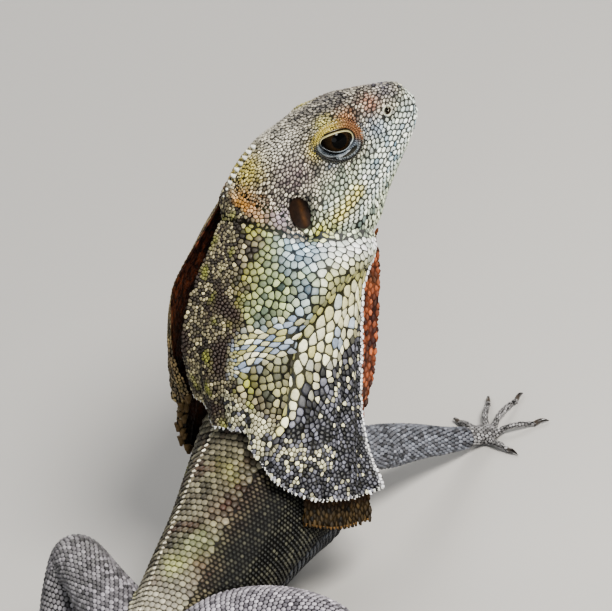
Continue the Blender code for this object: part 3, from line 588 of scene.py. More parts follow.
def applied(thing):
    """Turns the modifiers of the object into its mesh."""
    graph = bpy.context.evaluated_depsgraph_get()
    mesh = bpy.data.meshes.new_from_object(thing.evaluated_get(graph))
    old = thing.data
    thing.modifiers.clear()
    thing.data = mesh
    bpy.data.meshes.remove(old)
    return thing


def points_of(mesh):
    co = np.empty(len(mesh.vertices) * 3)
    mesh.vertices.foreach_get("co", co)
    return co.reshape(-1, 3)


def set_points(mesh, co):
    mesh.vertices.foreach_set("co", co.ravel())
    mesh.update()


def normals_of(mesh):
    n = np.empty(len(mesh.vertices) * 3)
    mesh.vertex_normals.foreach_get("vector", n)
    return n.reshape(-1, 3)


def smoothed(mesh, co, weight, rounds):
    edges = np.empty(len(mesh.edges) * 2, int)
    mesh.edges.foreach_get("vertices", edges)
    a, b = edges.reshape(-1, 2).T
    count = np.bincount(np.concatenate([a, b]), minlength=len(co))[:, None]
    for _ in range(rounds):
        total = np.empty_like(co)
        for k in range(3):
            total[:, k] = (np.bincount(a, co[b, k], len(co)) + np.bincount(b, co[a, k], len(co)))
        co = co + weight[:, None] * 0.5 * (total / count - co)
    return co


def near(co, place, size):
    """Soft weight around a place, three sizes in the head's own directions."""
    d = co - np.array(place)
    local = np.stack([d @ RIGHT, d @ FORWARD, d @ UP], axis=1)
    return np.exp(-0.5 * ((local / np.array(size)) ** 2).sum(axis=1))


def step_down(value, edge, width):
    """1 below the edge, 0 above it, with a soft step between."""
    return 0.5 - 0.5 * np.tanh((value - edge) / (2 * width))


def mouth_height(ahead):
    return np.interp(ahead, [2, 6, 14, 30, 46, 54], [-6.0, -9.0, -11.6, -12.4, -10.6, -9.0])


def lid_axes(ahead, high):
    """Place along and across the eye's opening, from its middle."""
    along = (ahead - EYE_PLACE[1]) * math.cos(LID_SLOPE) + (high - EYE_PLACE[2]) * math.sin(LID_SLOPE)
    across = (high - EYE_PLACE[2]) * math.cos(LID_SLOPE) - (ahead - EYE_PLACE[1]) * math.sin(LID_SLOPE)
    return along, across


def lid_distance(ahead, high):
    """Distance from the middle of the eye's socket, 1 at its rim."""
    along, across = lid_axes(ahead, high)
    return np.sqrt((along / LID_SIZE[0]) ** 2 + (across / LID_SIZE[1]) ** 2)


def ear_distance(ahead, high):
    """Distance from the middle of the ear, 1 at its rim."""
    lean = math.radians(EAR_LEAN)
    a = ahead - EAR_SPOT[0]
    b = high - EAR_SPOT[1]
    across = a * math.sin(lean) - b * math.cos(lean)
    along = a * math.cos(lean) + b * math.sin(lean)
    return np.sqrt((across / EAR_SIZE[0]) ** 2 + (along / EAR_SIZE[1]) ** 2)


def in_ear(turn, share):
    """Ahead and high of a place in the ear, share of the way from its middle to its rim."""
    lean = math.radians(EAR_LEAN)
    across = EAR_SIZE[0] * share * math.cos(turn)
    along = EAR_SIZE[1] * share * math.sin(turn)
    return (EAR_SPOT[0] + across * math.sin(lean) + along * math.cos(lean),
            EAR_SPOT[1] - across * math.cos(lean) + along * math.sin(lean))


def head_place(co):
    d = np.asarray(co) - EARS
    return d @ RIGHT, d @ FORWARD, d @ UP


def sculpted(mesh, co):
    """Forms of the head, the limbs and the back, pushed out of or into the skin."""
    n = normals_of(mesh)
    side, ahead, high = head_place(co)
    is_head = (ahead > -16) & (np.abs(side) < 26) & (high > -28) & (high < 24)
    move = np.zeros(len(co))
    for sign in (1, -1):
        for (aside, forwards, up), size, amount in HEAD_FORMS:
            move += amount * near(co, on_head(sign * aside, forwards, up), size)
        nostril = np.sqrt((ahead - NOSTRIL[0]) ** 2 + (high - NOSTRIL[1]) ** 2)
        # Each opening: distance from its middle, where its side begins, then its raised rim and its hollow
        for away, begins, (rise, at, wide), (deep, edge, soft) in (
                (ear_distance(ahead, high), 8, (0.8, 1.25, 0.28), (3.2, 0.95, 0.05)),
                (lid_distance(ahead, high), 5, (1.0, 1.3, 0.22), (4.2, 1.0, 0.05)),
                (nostril, 2, (0.7, 1.9, 0.9), (2.0, 1.15, 0.12))):
            outer = side * sign > begins
            move += np.where(outer, rise * np.exp(-((away - at) / wide) ** 2), 0)
            move -= np.where(outer, deep * step_down(away, edge, soft), 0)
    over_mouth = high - mouth_height(ahead)
    along_lip = 1 / (1 + np.exp(-(ahead - 5) / 1.2))
    move -= 0.85 * along_lip * np.exp(-(over_mouth / 0.5) ** 2)
    for lip in (1.7, -1.7):
        move += 0.35 * along_lip * bell(over_mouth, lip, 0.9)
    move = np.where(is_head, move, 0)
    for place, size, amount in SWELLINGS:
        move += amount * np.exp(-0.5 * (((co - np.array(place)) / size) ** 2).sum(axis=1))
    return co + n * move[:, None]


def build_skin(rings, palms):
    """One closed skin over the whole body, sunk below the solids by the depth of the scales."""
    bm = bmesh.new()
    for piece in rings:
        add_rings(bm, piece)
    bmesh.ops.recalc_face_normals(bm, faces=bm.faces)
    mesh = mesh_from(bm, "skin")
    thing = linked("skin", mesh)
    step = thing.modifiers.new("grain", "REMESH")
    step.mode = "VOXEL"
    step.voxel_size = SKIN_GRAIN
    mesh = applied(thing).data
    co = points_of(mesh)
    fine = np.zeros(len(co))
    for palm in palms:
        away = np.linalg.norm(co - np.array(palm), axis=1)
        fine = np.maximum(fine, 1 / (1 + np.exp((away - 46) / 1.5)) * (co[:, 2] < 9))
    weight = 1 - 0.93 * fine
    co = smoothed(mesh, co, weight, 32)
    set_points(mesh, co)
    co = sculpted(mesh, co)
    co = smoothed(mesh, co, weight, 1)
    set_points(mesh, co)
    depth = SKIN_DEPTH * (1 - 0.35 * fine)
    co = co - normals_of(mesh) * depth[:, None]
    co[:, 2] = np.maximum(co[:, 2], 0.05)
    set_points(mesh, co)
    step = thing.modifiers.new("thin", "DECIMATE")
    step.ratio = min(1.0, SKIN_TRIANGLES / (2 * len(mesh.polygons)))
    applied(thing)
    return thing


def tree_of(mesh):
    co = points_of(mesh)
    mesh.calc_loop_triangles()
    tris = np.empty(len(mesh.loop_triangles) * 3, np.int32)
    mesh.loop_triangles.foreach_get("vertices", tris)
    tris = tris.reshape(-1, 3)
    return BVHTree.FromPolygons(co.tolist(), tris.tolist()), co, tris


class Surface:
    """A mesh to lay scales on: nearest places on it, with normals eased over the faces."""

    def __init__(self, mesh):
        self.tree, self.co, self.tris = tree_of(mesh)
        self.normals = normals_of(mesh)

    def nearest(self, points):
        """Place on the surface, normal, distance and triangle for each point."""
        found = [self.tree.find_nearest(p) for p in np.asarray(points).tolist()]
        place = np.array([f[0] for f in found])
        flat = np.array([f[1] for f in found])
        which = np.array([f[2] for f in found])
        tri = self.tris[which]
        corners = self.co[tri]
        away = length(corners - place[:, None])
        weight = 1 / (away + 0.05)
        n = unit((self.normals[tri] * weight[:, :, None]).sum(axis=1))
        n = np.where(dot(n, flat)[:, None] < 0.2, flat, n)
        return place, n, np.array([f[3] for f in found]), which

    def scattered(self, gap_of, keep, spread, seed, crowd=None):
        """Points on the triangles that keep accepts, each about spread gaps from the next."""
        rng = np.random.default_rng(seed)
        corners = self.co[self.tris]
        middle = corners.mean(axis=1)
        chosen = np.nonzero(keep(middle))[0]
        corners = corners[chosen]
        first = corners[:, 1] - corners[:, 0]
        second = corners[:, 2] - corners[:, 0]
        area = 0.5 * np.linalg.norm(np.cross(first, second), axis=1)
        want = area / gap_of(middle[chosen]) ** 2 * 7
        count = rng.poisson(want)
        corners = np.repeat(corners, count, axis=0)
        a, b = rng.random((2, len(corners), 1))
        turned = a + b > 1
        a = np.where(turned, 1 - a, a)
        b = np.where(turned, 1 - b, b)
        points = corners[:, 0] + a * (corners[:, 1] - corners[:, 0]) + b * (corners[:, 2] - corners[:, 0])
        points = points[rng.permutation(len(points))]
        return self.spaced(points, gap_of(points) * spread, crowd)

    @staticmethod
    def spaced(points, gaps, crowd=None):
        """The points that keep their gap from the ones kept before."""
        cell = 1.6
        held = {}

        def cell_of(p):
            return int(p[0] // cell), int(p[1] // cell), int(p[2] // cell)

        def crowded(p, x, y, z, reach, limit):
            for i in range(x - reach, x + reach + 1):
                for j in range(y - reach, y + reach + 1):
                    for k in range(z - reach, z + reach + 1):
                        for q in held.get((i, j, k), ()):
                            if (p[0] - q[0]) ** 2 + (p[1] - q[1]) ** 2 + (p[2] - q[2]) ** 2 < limit:
                                return True
            return False

        for p in [] if crowd is None else crowd.tolist():
            held.setdefault(cell_of(p), []).append(p)
        kept = []
        for p, gap in zip(points.tolist(), gaps.tolist()):
            place = cell_of(p)
            if not crowded(p, *place, int(gap // cell) + 1, gap * gap):
                held.setdefault(place, []).append(p)
                kept.append(p)
        return np.array(kept).reshape(-1, 3)


def neighbours(points, count):
    tree = tree_of_points(points)
    return np.array([[hit[1] for hit in tree.find_n(p, count + 1)] for p in points.tolist()])[:, 1:]


def relaxed(surface, points, gap_of, held, rounds):
    """Lets the points push each other apart on the surface until they lie evenly; held ones stay."""
    for _ in range(rounds):
        hood = neighbours(points, 9)
        gap = gap_of(points)
        d = points[:, None] - points[hood]
        away = np.maximum(length(d), 1e-6)
        wish = 0.5 * (gap[:, None] + gap[hood]) * 1.04
        push = np.clip(wish - away, 0, None)[:, :, None] * d / away[:, :, None]
        moved = points + 0.32 * push.sum(axis=1) * ~held[:, None]
        place, _, _, _ = surface.nearest(moved[~held])
        points = points.copy()
        points[~held] = place
    return points


# Where the scales sit
class Bed:
    """Places of scales: point, way they lie, length, width, height, coat they belong to and map place."""

    def __init__(self):
        self.rows = {key: [] for key in ("p", "lie", "long", "wide", "high", "coat", "uv")}

    def add(self, p, lie, long, wide, high, coat, uv):
        n = len(p)
        for key, value in (("p", p), ("lie", lie), ("uv", uv)):
            self.rows[key].append(np.broadcast_to(np.asarray(value, float), (n, 2 if key == "uv" else 3)))
        for key, value in (("long", long), ("wide", wide), ("high", high)):
            self.rows[key].append(np.broadcast_to(np.asarray(value, float), n))
        self.rows["coat"].append(np.full(n, coat))

    def closed(self):
        for key, value in self.rows.items():
            setattr(self, key, np.concatenate(value))
        return self

    def kept(self, which):
        for key in self.rows:
            setattr(self, key, getattr(self, key)[which])
        return self


def rows_on(rings, gap_of, width_of, low=0.0, high=1.0, way=1.0):
    """Staggered rows across a swept form, from share low to high of the way from its back to its belly.

    gap_of(share along) is the step between rows, width_of(share along, share round) the step in a row.
    Returns places, the way the scales lie, their length and width and their place on the unrolled form."""
    n = rings.shape[1]
    top = n // 4
    line = rings[:, top]
    far = steps_to(line)
    out = []
    at = 0.3
    row = 0
    while at < far[-1]:
        share = at / far[-1]
        f = np.interp(at, far, np.arange(len(far)))
        i = min(int(f), len(far) - 2)
        ring = rings[i] * (1 - f + i) + rings[i + 1] * (f - i)
        along = unit(rings[i + 1] - rings[i]) * way
        for sign in (1, -1):
            order = (top + sign * np.arange(n // 2 + 1)) % n
            path = ring[order]
            round_to = steps_to(path)
            x = 0.5 * width_of(share, 0.0) if row % 2 else 0.0
            while x <= round_to[-1] * high:
                part = x / round_to[-1]
                wide = width_of(share, part)
                if part >= low and not (x == 0 and sign == -1):
                    p = [np.interp(x, round_to, path[:, k]) for k in range(3)]
                    t = along[order[min(int(part * (n // 2) + 0.5), n // 2)]]
                    out.append((*p, *t, gap_of(share), wide, share, 0.5 + 0.5 * sign * part))
                x += wide
        at += gap_of(share)
        row += 1
    out = np.array(out)
    return out[:, :3], out[:, 3:6], out[:, 6], out[:, 7], out[:, 8:10]


def back_gap(share):
    return np.interp(share, [0, 0.3, 0.7, 1], [1.7, 2.15, 2.15, 1.5])


def tail_gap(share):
    return np.interp(share, [0, 0.3, 1], [2.1, 2.2, 1.9])


def tail_width(share, part):
    return np.interp(share, [0, 0.4, 1], [1.9, 1.7, 1.15])


def trunk_width(share, part):
    return np.interp(share, [0, 0.25, 0.6, 1], [1.9, 2.6, 2.7, 1.6]) * (1 - 0.6 * part)


def flank_width(share, part):
    return np.interp(part, [0.28, 0.4, 0.72], [1.75, 1.45, 1.6])


def head_gap(points):
    side, ahead, high = head_place(points)
    gap = 1.2 + 0.42 * step_down(high, -2, 1.5) * (ahead > -5)
    gap = gap + 0.55 * step_down(high, -10, 2.0) * step_down(ahead, 12, 4)
    return gap * np.where(np.abs(side) > 6, 1 - 0.25 * step_down(lid_distance(ahead, high), 1.9, 0.12), 1)


def head_lie(points):
    high = head_place(points)[2]
    down = 0.25 + 0.55 * step_down(high, -4, 3)
    return unit(-FORWARD[None, :] - UP[None, :] * down[:, None])


def head_map(points):
    side, ahead, high = head_place(points)
    turn = np.arctan2(side, high + 6) / math.pi
    return np.stack([0.04 + 0.92 * (ahead + 22) / 78, 0.5 + 0.46 * turn], axis=1)


def in_head(points):
    side, ahead, high = head_place(points)
    return (ahead > -12) & (np.abs(side) < 26) & (high > -24 - 0.2 * ahead) & (high < 26)


def lip_rows(skin):
    """Rows of larger scales along both lips, on both sides and round the snout."""
    places = []
    for sign in (1, -1):
        for row, off in enumerate((0.95, -1.0, 2.35, -2.4, 3.75, -3.8, 5.15, -5.2)):
            step = LIP_SCALE[0]
            for ahead in np.arange(5.5 + (row % 4 > 1) * step / 2, 54.0, step):
                height = float(mouth_height(ahead)) + off
                start = Vector(on_head(sign * 30, ahead, height))
                hit = skin.tree.ray_cast(start, Vector(-RIGHT * sign))
                if hit[0] is not None and (hit[0] - start).length < 29.2:
                    places.append(tuple(hit[0]))
    return np.array(places)


def body_bed(skin, forms):
    """All scale places of head, trunk, tail, limbs and digits, fitted to the skin."""
    bed = Bed()
    lips = lip_rows(skin)
    bed.add(lips, -FORWARD, *LIP_SCALE, 0.5, "head", head_map(lips))

    # Rows on the swept forms: form, coat, height, steps, and the share of the way round where they lie
    for form, coat_name, tall, gap_of, width_of, *rest in (
            ("trunk", "back", 0.6, back_gap, trunk_width, 0, BACK_SHARE, -1),
            ("trunk", "flank", 0.42, lambda s: 1.45, flank_width, BACK_SHARE + 0.01, FLANK_SHARE, -1),
            ("trunk", "belly", 0.45, lambda s: 2.0, lambda s, part: 2.1, FLANK_SHARE + 0.01, 1.0, -1),
            ("tail", "tail", 0.45, tail_gap, tail_width)):
        p, lie, long, wide, uv = rows_on(forms[form], gap_of, width_of, *rest)
        bed.add(p, lie, long, wide, tall, coat_name, uv)
    for name in LIMBS:
        leg = name.startswith("leg")
        gap = 1.85 if leg else 1.7
        p, lie, long, wide, uv = rows_on(forms[name], lambda s: gap, lambda s, part: gap * 0.92)
        block = (0.5 if leg else 0.0, 0.5 if name.endswith("left") else 0.0)
        bed.add(p, lie, long, wide, 0.4, "limbs", uv * 0.46 + 0.02 + np.array(block))
    for name in HANDS:
        for k, form in enumerate(forms[name]):
            gap = 1.45 if k == 0 else 1.15
            p, lie, long, wide, uv = rows_on(form, lambda s: gap, lambda s, part: gap * 1.02)
            place = np.array(((list(HANDS).index(name) * 6 + k) / 24 + 0.004, 0.02))
            bed.add(p, lie, long, wide, 0.26, "digits", uv[:, ::-1] * (0.033, 0.95) + place)
    bed.closed()

    # Only places close to the skin stay, no two of them too close; then the gaps are filled
    place, _, away, _ = skin.nearest(bed.p)
    good = away < np.where(bed.coat == "digits", 0.9, 2.2)
    good &= ~(in_head(place) & (bed.coat != "head"))
    bed.p = place
    bed.kept(good)
    index = {tuple(p): i for i, p in enumerate(bed.p.tolist())}
    free = Surface.spaced(bed.p, 0.66 * np.minimum(bed.long, bed.wide))
    bed.kept(np.array([index[tuple(p)] for p in free.tolist()]))
    extra = skin.scattered(head_gap, in_head, 0.80, 3, bed.p)
    bed = joined_bed(bed, extra, head_lie(extra), head_gap(extra), 0.38, "head", head_map(extra), 1.6)
    tree = tree_of_points(bed.p)

    def gap_near(points):
        return np.array([bed.wide[tree.find(p)[1]] for p in points.tolist()])

    spare = skin.scattered(gap_near, lambda m: ~in_head(m), 0.92, 5, bed.p)
    hit = np.array([tree.find(p)[1] for p in spare.tolist()])
    uv = bed.uv[hit] + np.random.default_rng(6).uniform(-0.004, 0.004, (len(hit), 2))
    coats = bed.coat[hit]
    lie = bed.lie[hit]
    wide = bed.wide[hit]
    for name in np.unique(coats):
        mine = coats == name
        bed = joined_bed(bed, spare[mine], lie[mine], wide[mine], 0.36, name, uv[mine])

    # The granules of the head push each other apart; the lips and the first scales of the body stay
    loose = bed.coat == "head"
    loose[:len(lips)] = False
    pick = np.nonzero(loose | in_head(bed.p))[0]
    gaps = bed.wide[pick]
    bed.p[pick] = relaxed(skin, bed.p[pick], lambda points: gaps, ~loose[pick], 7)
    side, ahead, high = head_place(bed.p)
    off, over = lid_axes(ahead, high)
    on_lids = (off / (OPENING[0] + LID_REACH)) ** 2 + (over / (OPENING[1] + LID_REACH)) ** 2 < 1
    bare = (np.abs(side) > 6) & (on_lids | (ear_distance(ahead, high) < 1.02))
    return bed.kept(~bare)


def joined_bed(bed, p, lie, gap, high, coat, uv, longer=1.0):
    more = Bed()
    more.add(p, lie, gap * math.sqrt(longer), gap / math.sqrt(longer), high, coat, uv)
    more.closed()
    for key in bed.rows:
        setattr(bed, key, np.concatenate([getattr(bed, key), getattr(more, key)]))
    return bed


def cell_outlines(p, n, lie, long, wide, hood, chosen, corners):
    """Outline of each chosen scale: it reaches half way to its neighbours, in its own length and width."""
    size = np.sqrt(long * wide)
    hood = hood[chosen]
    share = size[chosen][:, None] / (size[chosen][:, None] + size[hood])
    facing = (n[hood] * n[chosen][:, None]).sum(axis=2) > 0.15
    d = p[hood] - p[chosen][:, None]
    p, n, lie, long, wide = (a[chosen] for a in (p, n, lie, long, wide))
    side = np.cross(n, lie)
    x = dot(d, lie[:, None]) / long[:, None]
    y = dot(d, side[:, None]) / wide[:, None]
    square = (x ** 2 + y ** 2) * share
    angle = (np.arange(corners) + 0.5) * 2 * math.pi / corners
    reach = np.full((len(p), corners), 0.8)
    for k, a in enumerate(angle):
        toward = x * math.cos(a) + y * math.sin(a)
        r = np.where((toward > 1e-4) & facing, square / np.maximum(toward, 1e-4), 9.0)
        reach[:, k] = np.minimum(reach[:, k], r.min(axis=1))
    return (p[:, None] + lie[:, None] * (reach * np.cos(angle) * long[:, None])[:, :, None]
            + side[:, None] * (reach * np.sin(angle) * wide[:, None])[:, :, None])


# Scales as raised plates. Corners of the outline, seam, shoulder, tilt and keel of each coat
RELIEF = {
    "head": (8, 0.92, 0.84, 0.26, 0.35), "back": (10, 1.05, 0.88, 0.30, 0.45),
    "flank": (8, 0.93, 0.80, 0.20, 0.6),
    "belly": (8, 1.04, 0.9, 0.25, 0.2), "tail": (8, 1.04, 0.86, 0.28, 0.8),
    "limbs": (8, 1.03, 0.84, 0.28, 0.9),
    "digits": (8, 1.0, 0.86, 0.15, 0.4), RIGHT_LOBE: (12, 0.93, 0.91, 0.08, 0.14),
    LEFT_LOBE: (10, 0.95, 0.9, 0.08, 0.2),
}
INSIDE_RELIEF = (6, 0.97, 0.9, 0.05, 0.1)


def raised_plates_tree():
    """Turns each flat outline into a raised scale: seam, shoulder, crown, tilt and keel."""
    wire, given, end = group_tree(
        "raised_plates", (("Outlines", GEOMETRY, None), ("Seam", FLOAT, 0.97), ("Shoulder", FLOAT, 0.87),
                          ("Crown", FLOAT, 0.6), ("Tilt", FLOAT, 0.1), ("Keel", FLOAT, 0.3),
                          ("Material", MATERIAL, None)), (("Plates", GEOMETRY),), "GeometryNodeTree")

    def narrowed(shape, scale, top=True):
        inputs = {"Geometry": shape, "Selection": top, "Scale": scale}
        return wire.add("GeometryNodeScaleElements", inputs, domain="FACE").outputs[0]

    def raised(shape, share, top=True):
        inputs = {"Mesh": shape, "Selection": top, "Offset Scale": wire.maths("MULTIPLY", height, share)}
        made = wire.add("GeometryNodeExtrudeMesh", inputs, mode="FACES")
        return made.outputs["Mesh"], made.outputs["Top"]

    height = wire.named("height", "FLOAT")
    up = wire.named("up", "FLOAT_VECTOR")
    lie = wire.named("lie", "FLOAT_VECTOR")
    shape = narrowed(given["Outlines"], given["Seam"])
    shape, top = raised(shape, 0.72)
    shape = narrowed(shape, given["Shoulder"], top)
    shape, top = raised(shape, 0.28, top)
    shape = narrowed(shape, given["Crown"], top)
    position = wire.add("GeometryNodeInputPosition", {}).outputs[0]
    away = wire.vector("SUBTRACT", position, wire.named("root", "FLOAT_VECTOR"))
    risen = wire.vector("DOT_PRODUCT", away, up)
    rise = wire.add("ShaderNodeClamp", {"Value": wire.maths("DIVIDE", risen, height)}).outputs[0]
    along = wire.vector("DOT_PRODUCT", away, lie)
    aside = wire.vector("SUBTRACT", away, wire.vector("SCALE", up, risen))
    aside = wire.vector("SUBTRACT", aside, wire.vector("SCALE", lie, along))
    beside = wire.add("ShaderNodeVectorMath", {0: aside}, operation="LENGTH").outputs["Value"]
    reach = wire.maths("MULTIPLY", wire.named("width", "FLOAT"), 0.4)
    ridge = wire.maths("SUBTRACT", 1.0, wire.maths("DIVIDE", beside, reach))
    keel = wire.maths("MULTIPLY", wire.maths("MAXIMUM", ridge, 0.0), given["Keel"])
    keel = wire.maths("MULTIPLY", keel, wire.maths("MULTIPLY", rise, height))
    lift = wire.maths("MULTIPLY", wire.maths("MULTIPLY", along, given["Tilt"]), rise)
    kept = wire.add("GeometryNodeStoreNamedAttribute", {"Geometry": shape, "Name": "rise", "Value": rise},
                    data_type="FLOAT", domain="POINT")
    offset = wire.vector("SCALE", up, wire.maths("ADD", lift, keel))
    moved = wire.add("GeometryNodeSetPosition", {"Geometry": kept.outputs[0], "Offset": offset})
    return wire.finish(moved.outputs[0], given["Material"], end)


def with_nodes(thing, tree, **values):
    """Runs a node tree on the object with the given inputs and keeps the result as a plain mesh."""
    step = thing.modifiers.new(tree.name, "NODES")
    step.node_group = tree
    names = {item.name: item.identifier for item in tree.interface.items_tree if item.in_out == "INPUT"}
    for name, value in values.items():
        step[names[name]] = value
    return applied(thing)


def set_attribute(mesh, name, kind, domain, values):
    layer = mesh.attributes.new(name, kind, domain)
    key = {"FLOAT": "value", "INT": "value", "FLOAT_VECTOR": "vector", "FLOAT_COLOR": "color"}[kind]
    values = np.asarray(values)
    if kind == "FLOAT_COLOR" and values.shape[1] == 3:
        values = np.hstack([values, np.ones((len(values), 1))])
    layer.data.foreach_set(key, values.ravel())


def coat(name, lines, p, n, lie, high, wide, tint, uv, tree, material, seam, shoulder, tilt, keel):
    """One piece of raised scales from the outline, root, normal and the rest of each scale."""
    count, corners = lines.shape[:2]
    mesh = bpy.data.meshes.new(name)
    mesh.vertices.add(count * corners)
    mesh.loops.add(count * corners)
    mesh.polygons.add(count)
    base = placed((lines - n[:, None] * SCALE_SUNK).reshape(-1, 3))
    mesh.vertices.foreach_set("co", base.ravel())
    mesh.loops.foreach_set("vertex_index", np.arange(count * corners, dtype=np.int32))
    mesh.polygons.foreach_set("loop_start", np.arange(count, dtype=np.int32) * corners)
    mesh.update(calc_edges=True)
    root = placed(p - n * SCALE_SUNK)
    for key, values in (("root", root), ("up", n), ("lie", lie)):
        set_attribute(mesh, key, "FLOAT_VECTOR", "FACE", values)
    set_attribute(mesh, "height", "FLOAT", "FACE", high * 0.001)
    set_attribute(mesh, "width", "FLOAT", "FACE", wide * 0.001)
    set_attribute(mesh, "plate", "INT", "FACE", np.arange(count, dtype=np.int32))
    thing = linked(name, mesh)
    with_nodes(thing, tree, Seam=seam, Shoulder=shoulder, Tilt=tilt, Keel=keel, Material=material)
    mesh = thing.data
    plate = np.empty(len(mesh.polygons), np.int32)
    mesh.attributes["plate"].data.foreach_get("value", plate)
    sides = np.empty(len(mesh.polygons), np.int32)
    mesh.polygons.foreach_get("loop_total", sides)
    corner_plate = np.repeat(plate, sides)
    corner_point = np.empty(len(mesh.loops), np.int32)
    mesh.loops.foreach_get("vertex_index", corner_point)
    point_plate = np.zeros(len(mesh.vertices), np.int32)
    point_plate[corner_point] = corner_plate
    set_attribute(mesh, "tint", "FLOAT_COLOR", "POINT", tint[point_plate])
    co = points_of(mesh)[corner_point] - root[corner_plate]
    across = np.cross(n, lie)[corner_plate]
    local = np.stack([dot(co, lie[corner_plate]), dot(co, across)], axis=1)
    spot = uv[corner_plate] + 0.0017 * local / (wide[corner_plate][:, None] * 0.001)
    layer = mesh.uv_layers.new(name="OFBake")
    layer.data.foreach_set("uv", np.clip(spot, 0, 1).ravel())
    for spare in ("root", "up", "lie", "height", "width", "plate"):
        mesh.attributes.remove(mesh.attributes[spare])
    mesh.validate()
    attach(thing, "root")
    return thing


# The frill
def sheet_normals(grid):
    n = np.cross(np.gradient(grid, axis=0), np.gradient(grid, axis=1))
    return unit(n)


def sheet_points(net, across, down, pleats, bulge):
    """Grid of points through the net: the rows run from root to rim. Pleats deepen towards the rim."""
    columns = np.array([curve(np.array(net)[:, k], 8) for k in range(len(net[0]))])
    rows = np.array([curve(columns[:, j], 8) for j in range(columns.shape[1])])
    v = np.linspace(0, rows.shape[0] - 1, down)
    u = np.linspace(0, rows.shape[1] - 1, across)
    grid = np.empty((down, across, 3))
    for i, a in enumerate(v):
        low = min(int(a), rows.shape[0] - 2)
        line = rows[low] * (1 - a + low) + rows[low + 1] * (a - low)
        for k in range(3):
            grid[i, :, k] = np.interp(u, np.arange(rows.shape[1]), line[:, k])
    n = sheet_normals(grid)
    s = np.linspace(0, 1, across)[None, :]
    t = np.linspace(0, 1, down)[:, None]
    grown = np.clip((t - 0.25) / 0.75, 0, 1)
    wave = pleats * grown * np.sin(2 * math.pi * PLEATS * s + 1.5 * t)
    wave = wave + 0.22 * pleats * grown * np.sin(2 * math.pi * PLEATS * FINE_PLEATS * s + 4 * t)
    past = t - crease_at(s)
    above = 0.5 - 0.5 * np.tanh(past / 0.03)
    low_right = np.interp(s, [0.42, 0.57, 0.8, 1.0], [0, 1, 1, 0.15])
    sunk = 0.6 * (1 - above) * np.exp(-past / 0.12)
    fold = bulge * low_right * (above * np.clip(t / 0.12, 0, 1) - sunk)
    return grid + n * (wave + fold)[:, :, None]


def crease_at(s):
    """Where the fold across the lobe lies, as a share of the way from root to rim."""
    return np.interp(s, [0.48, 0.52, 0.54, 0.59, 0.65, 0.79, 1], [0.8, 0.56, 0.42, 0.355, 0.3, 0.225, 0.17])


def held_off(grid, skin, clear, rounds):
    """Moves the points of a sheet until it lies clear of the skin, easing the neighbours along."""
    for _ in range(rounds):
        flat = grid.reshape(-1, 3)
        hits = [skin.tree.find_nearest(p) for p in flat.tolist()]
        place, normal, distance = (np.array([h[k] for h in hits]) for k in (0, 1, 3))
        inside = dot(flat - place, normal) < 0
        away = (flat - place) / np.maximum(distance, 1e-6)[:, None]
        away = np.where((inside | (distance < 1e-6))[:, None], normal, away)
        moved = np.where((inside | (distance < clear))[:, None], place + away * clear, flat)
        shift = (moved - flat).reshape(grid.shape)
        gentle = shift.copy()
        around = shift[:-2, 1:-1] + shift[2:, 1:-1] + shift[1:-1, :-2] + shift[1:-1, 2:]
        gentle[1:-1, 1:-1] = 0.6 * shift[1:-1, 1:-1] + 0.1 * around
        stronger = length(shift) > length(gentle)
        grid = grid + np.where(stronger[:, :, None], shift, gentle)
    return grid


def rooted(grid, skin, roots):
    """Leads the sheet out of the skin: some rows more, and its first rows bent down to the skin."""
    back = unit(grid[0] - grid[1])
    step = ROOT_STEP * np.interp(np.linspace(0, 1, grid.shape[1]), [0.36, 0.44, 0.56, 0.64], [1, 0.3, 0.3, 1])
    extra = np.array([grid[0] + back * step[:, None] * k for k in range(roots, 0, -1)])
    grid = np.concatenate([extra, grid])
    last = roots + ROOT_ROWS
    for k in range(last):
        place, n, _, _ = skin.nearest(grid[k])
        full = ((grid[max(k, roots)] - skin.nearest(grid[max(k, roots)])[0]) * n).sum(axis=1)
        share = softened((k + 1) / last)
        height = ROOT_LOW * (1 - share) + np.maximum(full, 0) * share
        grid[k] = place + n * height[:, None]
    on_cheek(grid, skin, last - 1)
    last += 3
    for _ in range(40):
        gentle = grid[1:last - 1] * 0.5 + (grid[:last - 2] + grid[2:last]) * 0.25
        flat = gentle.reshape(-1, 3)
        place, n, _, _ = skin.nearest(flat)
        height = dot(flat - place, n)
        lift = np.maximum(ROOT_LOW - height, 0)[:, None] * n
        grid[1:last - 1] = gentle + lift.reshape(gentle.shape)
    flat = grid[:last].reshape(-1, 3)
    side, ahead, high = head_place(flat)
    sunk = 4.5 * step_down(ear_distance(ahead, high), 1.06, 0.03) * (np.abs(side) > 8)
    grid[:last] = (flat - skin.nearest(flat)[1] * sunk[:, None]).reshape(grid[:last].shape)
    return grid


def on_cheek(grid, skin, last):
    """Lets the rows below the jaw leave the outer side of the cheek, up to the given row."""
    side, ahead, high = head_place(grid[last])
    way = float(np.sign(side.mean()))
    share = np.interp(np.linspace(0, 1, grid.shape[1]), [0.5, 0.62], [0, 1])[:, None]
    starts = grid[0].copy()
    for j, (a, h) in enumerate(zip(ahead, high)):
        start = on_head(way * 40, a + CHEEK_RISE[0], h + CHEEK_RISE[1])
        hit = skin.tree.ray_cast(Vector(start), Vector(-RIGHT * way))
        if hit[0] is not None:
            starts[j] = hit[0]
    for k in range(last):
        t = (k / last) ** 1.15
        line = starts * (1 - t) + grid[last] * t - RIGHT * way * 0.7 * (1 - t) ** 4
        grid[k] = grid[k] * (1 - share) + line * share


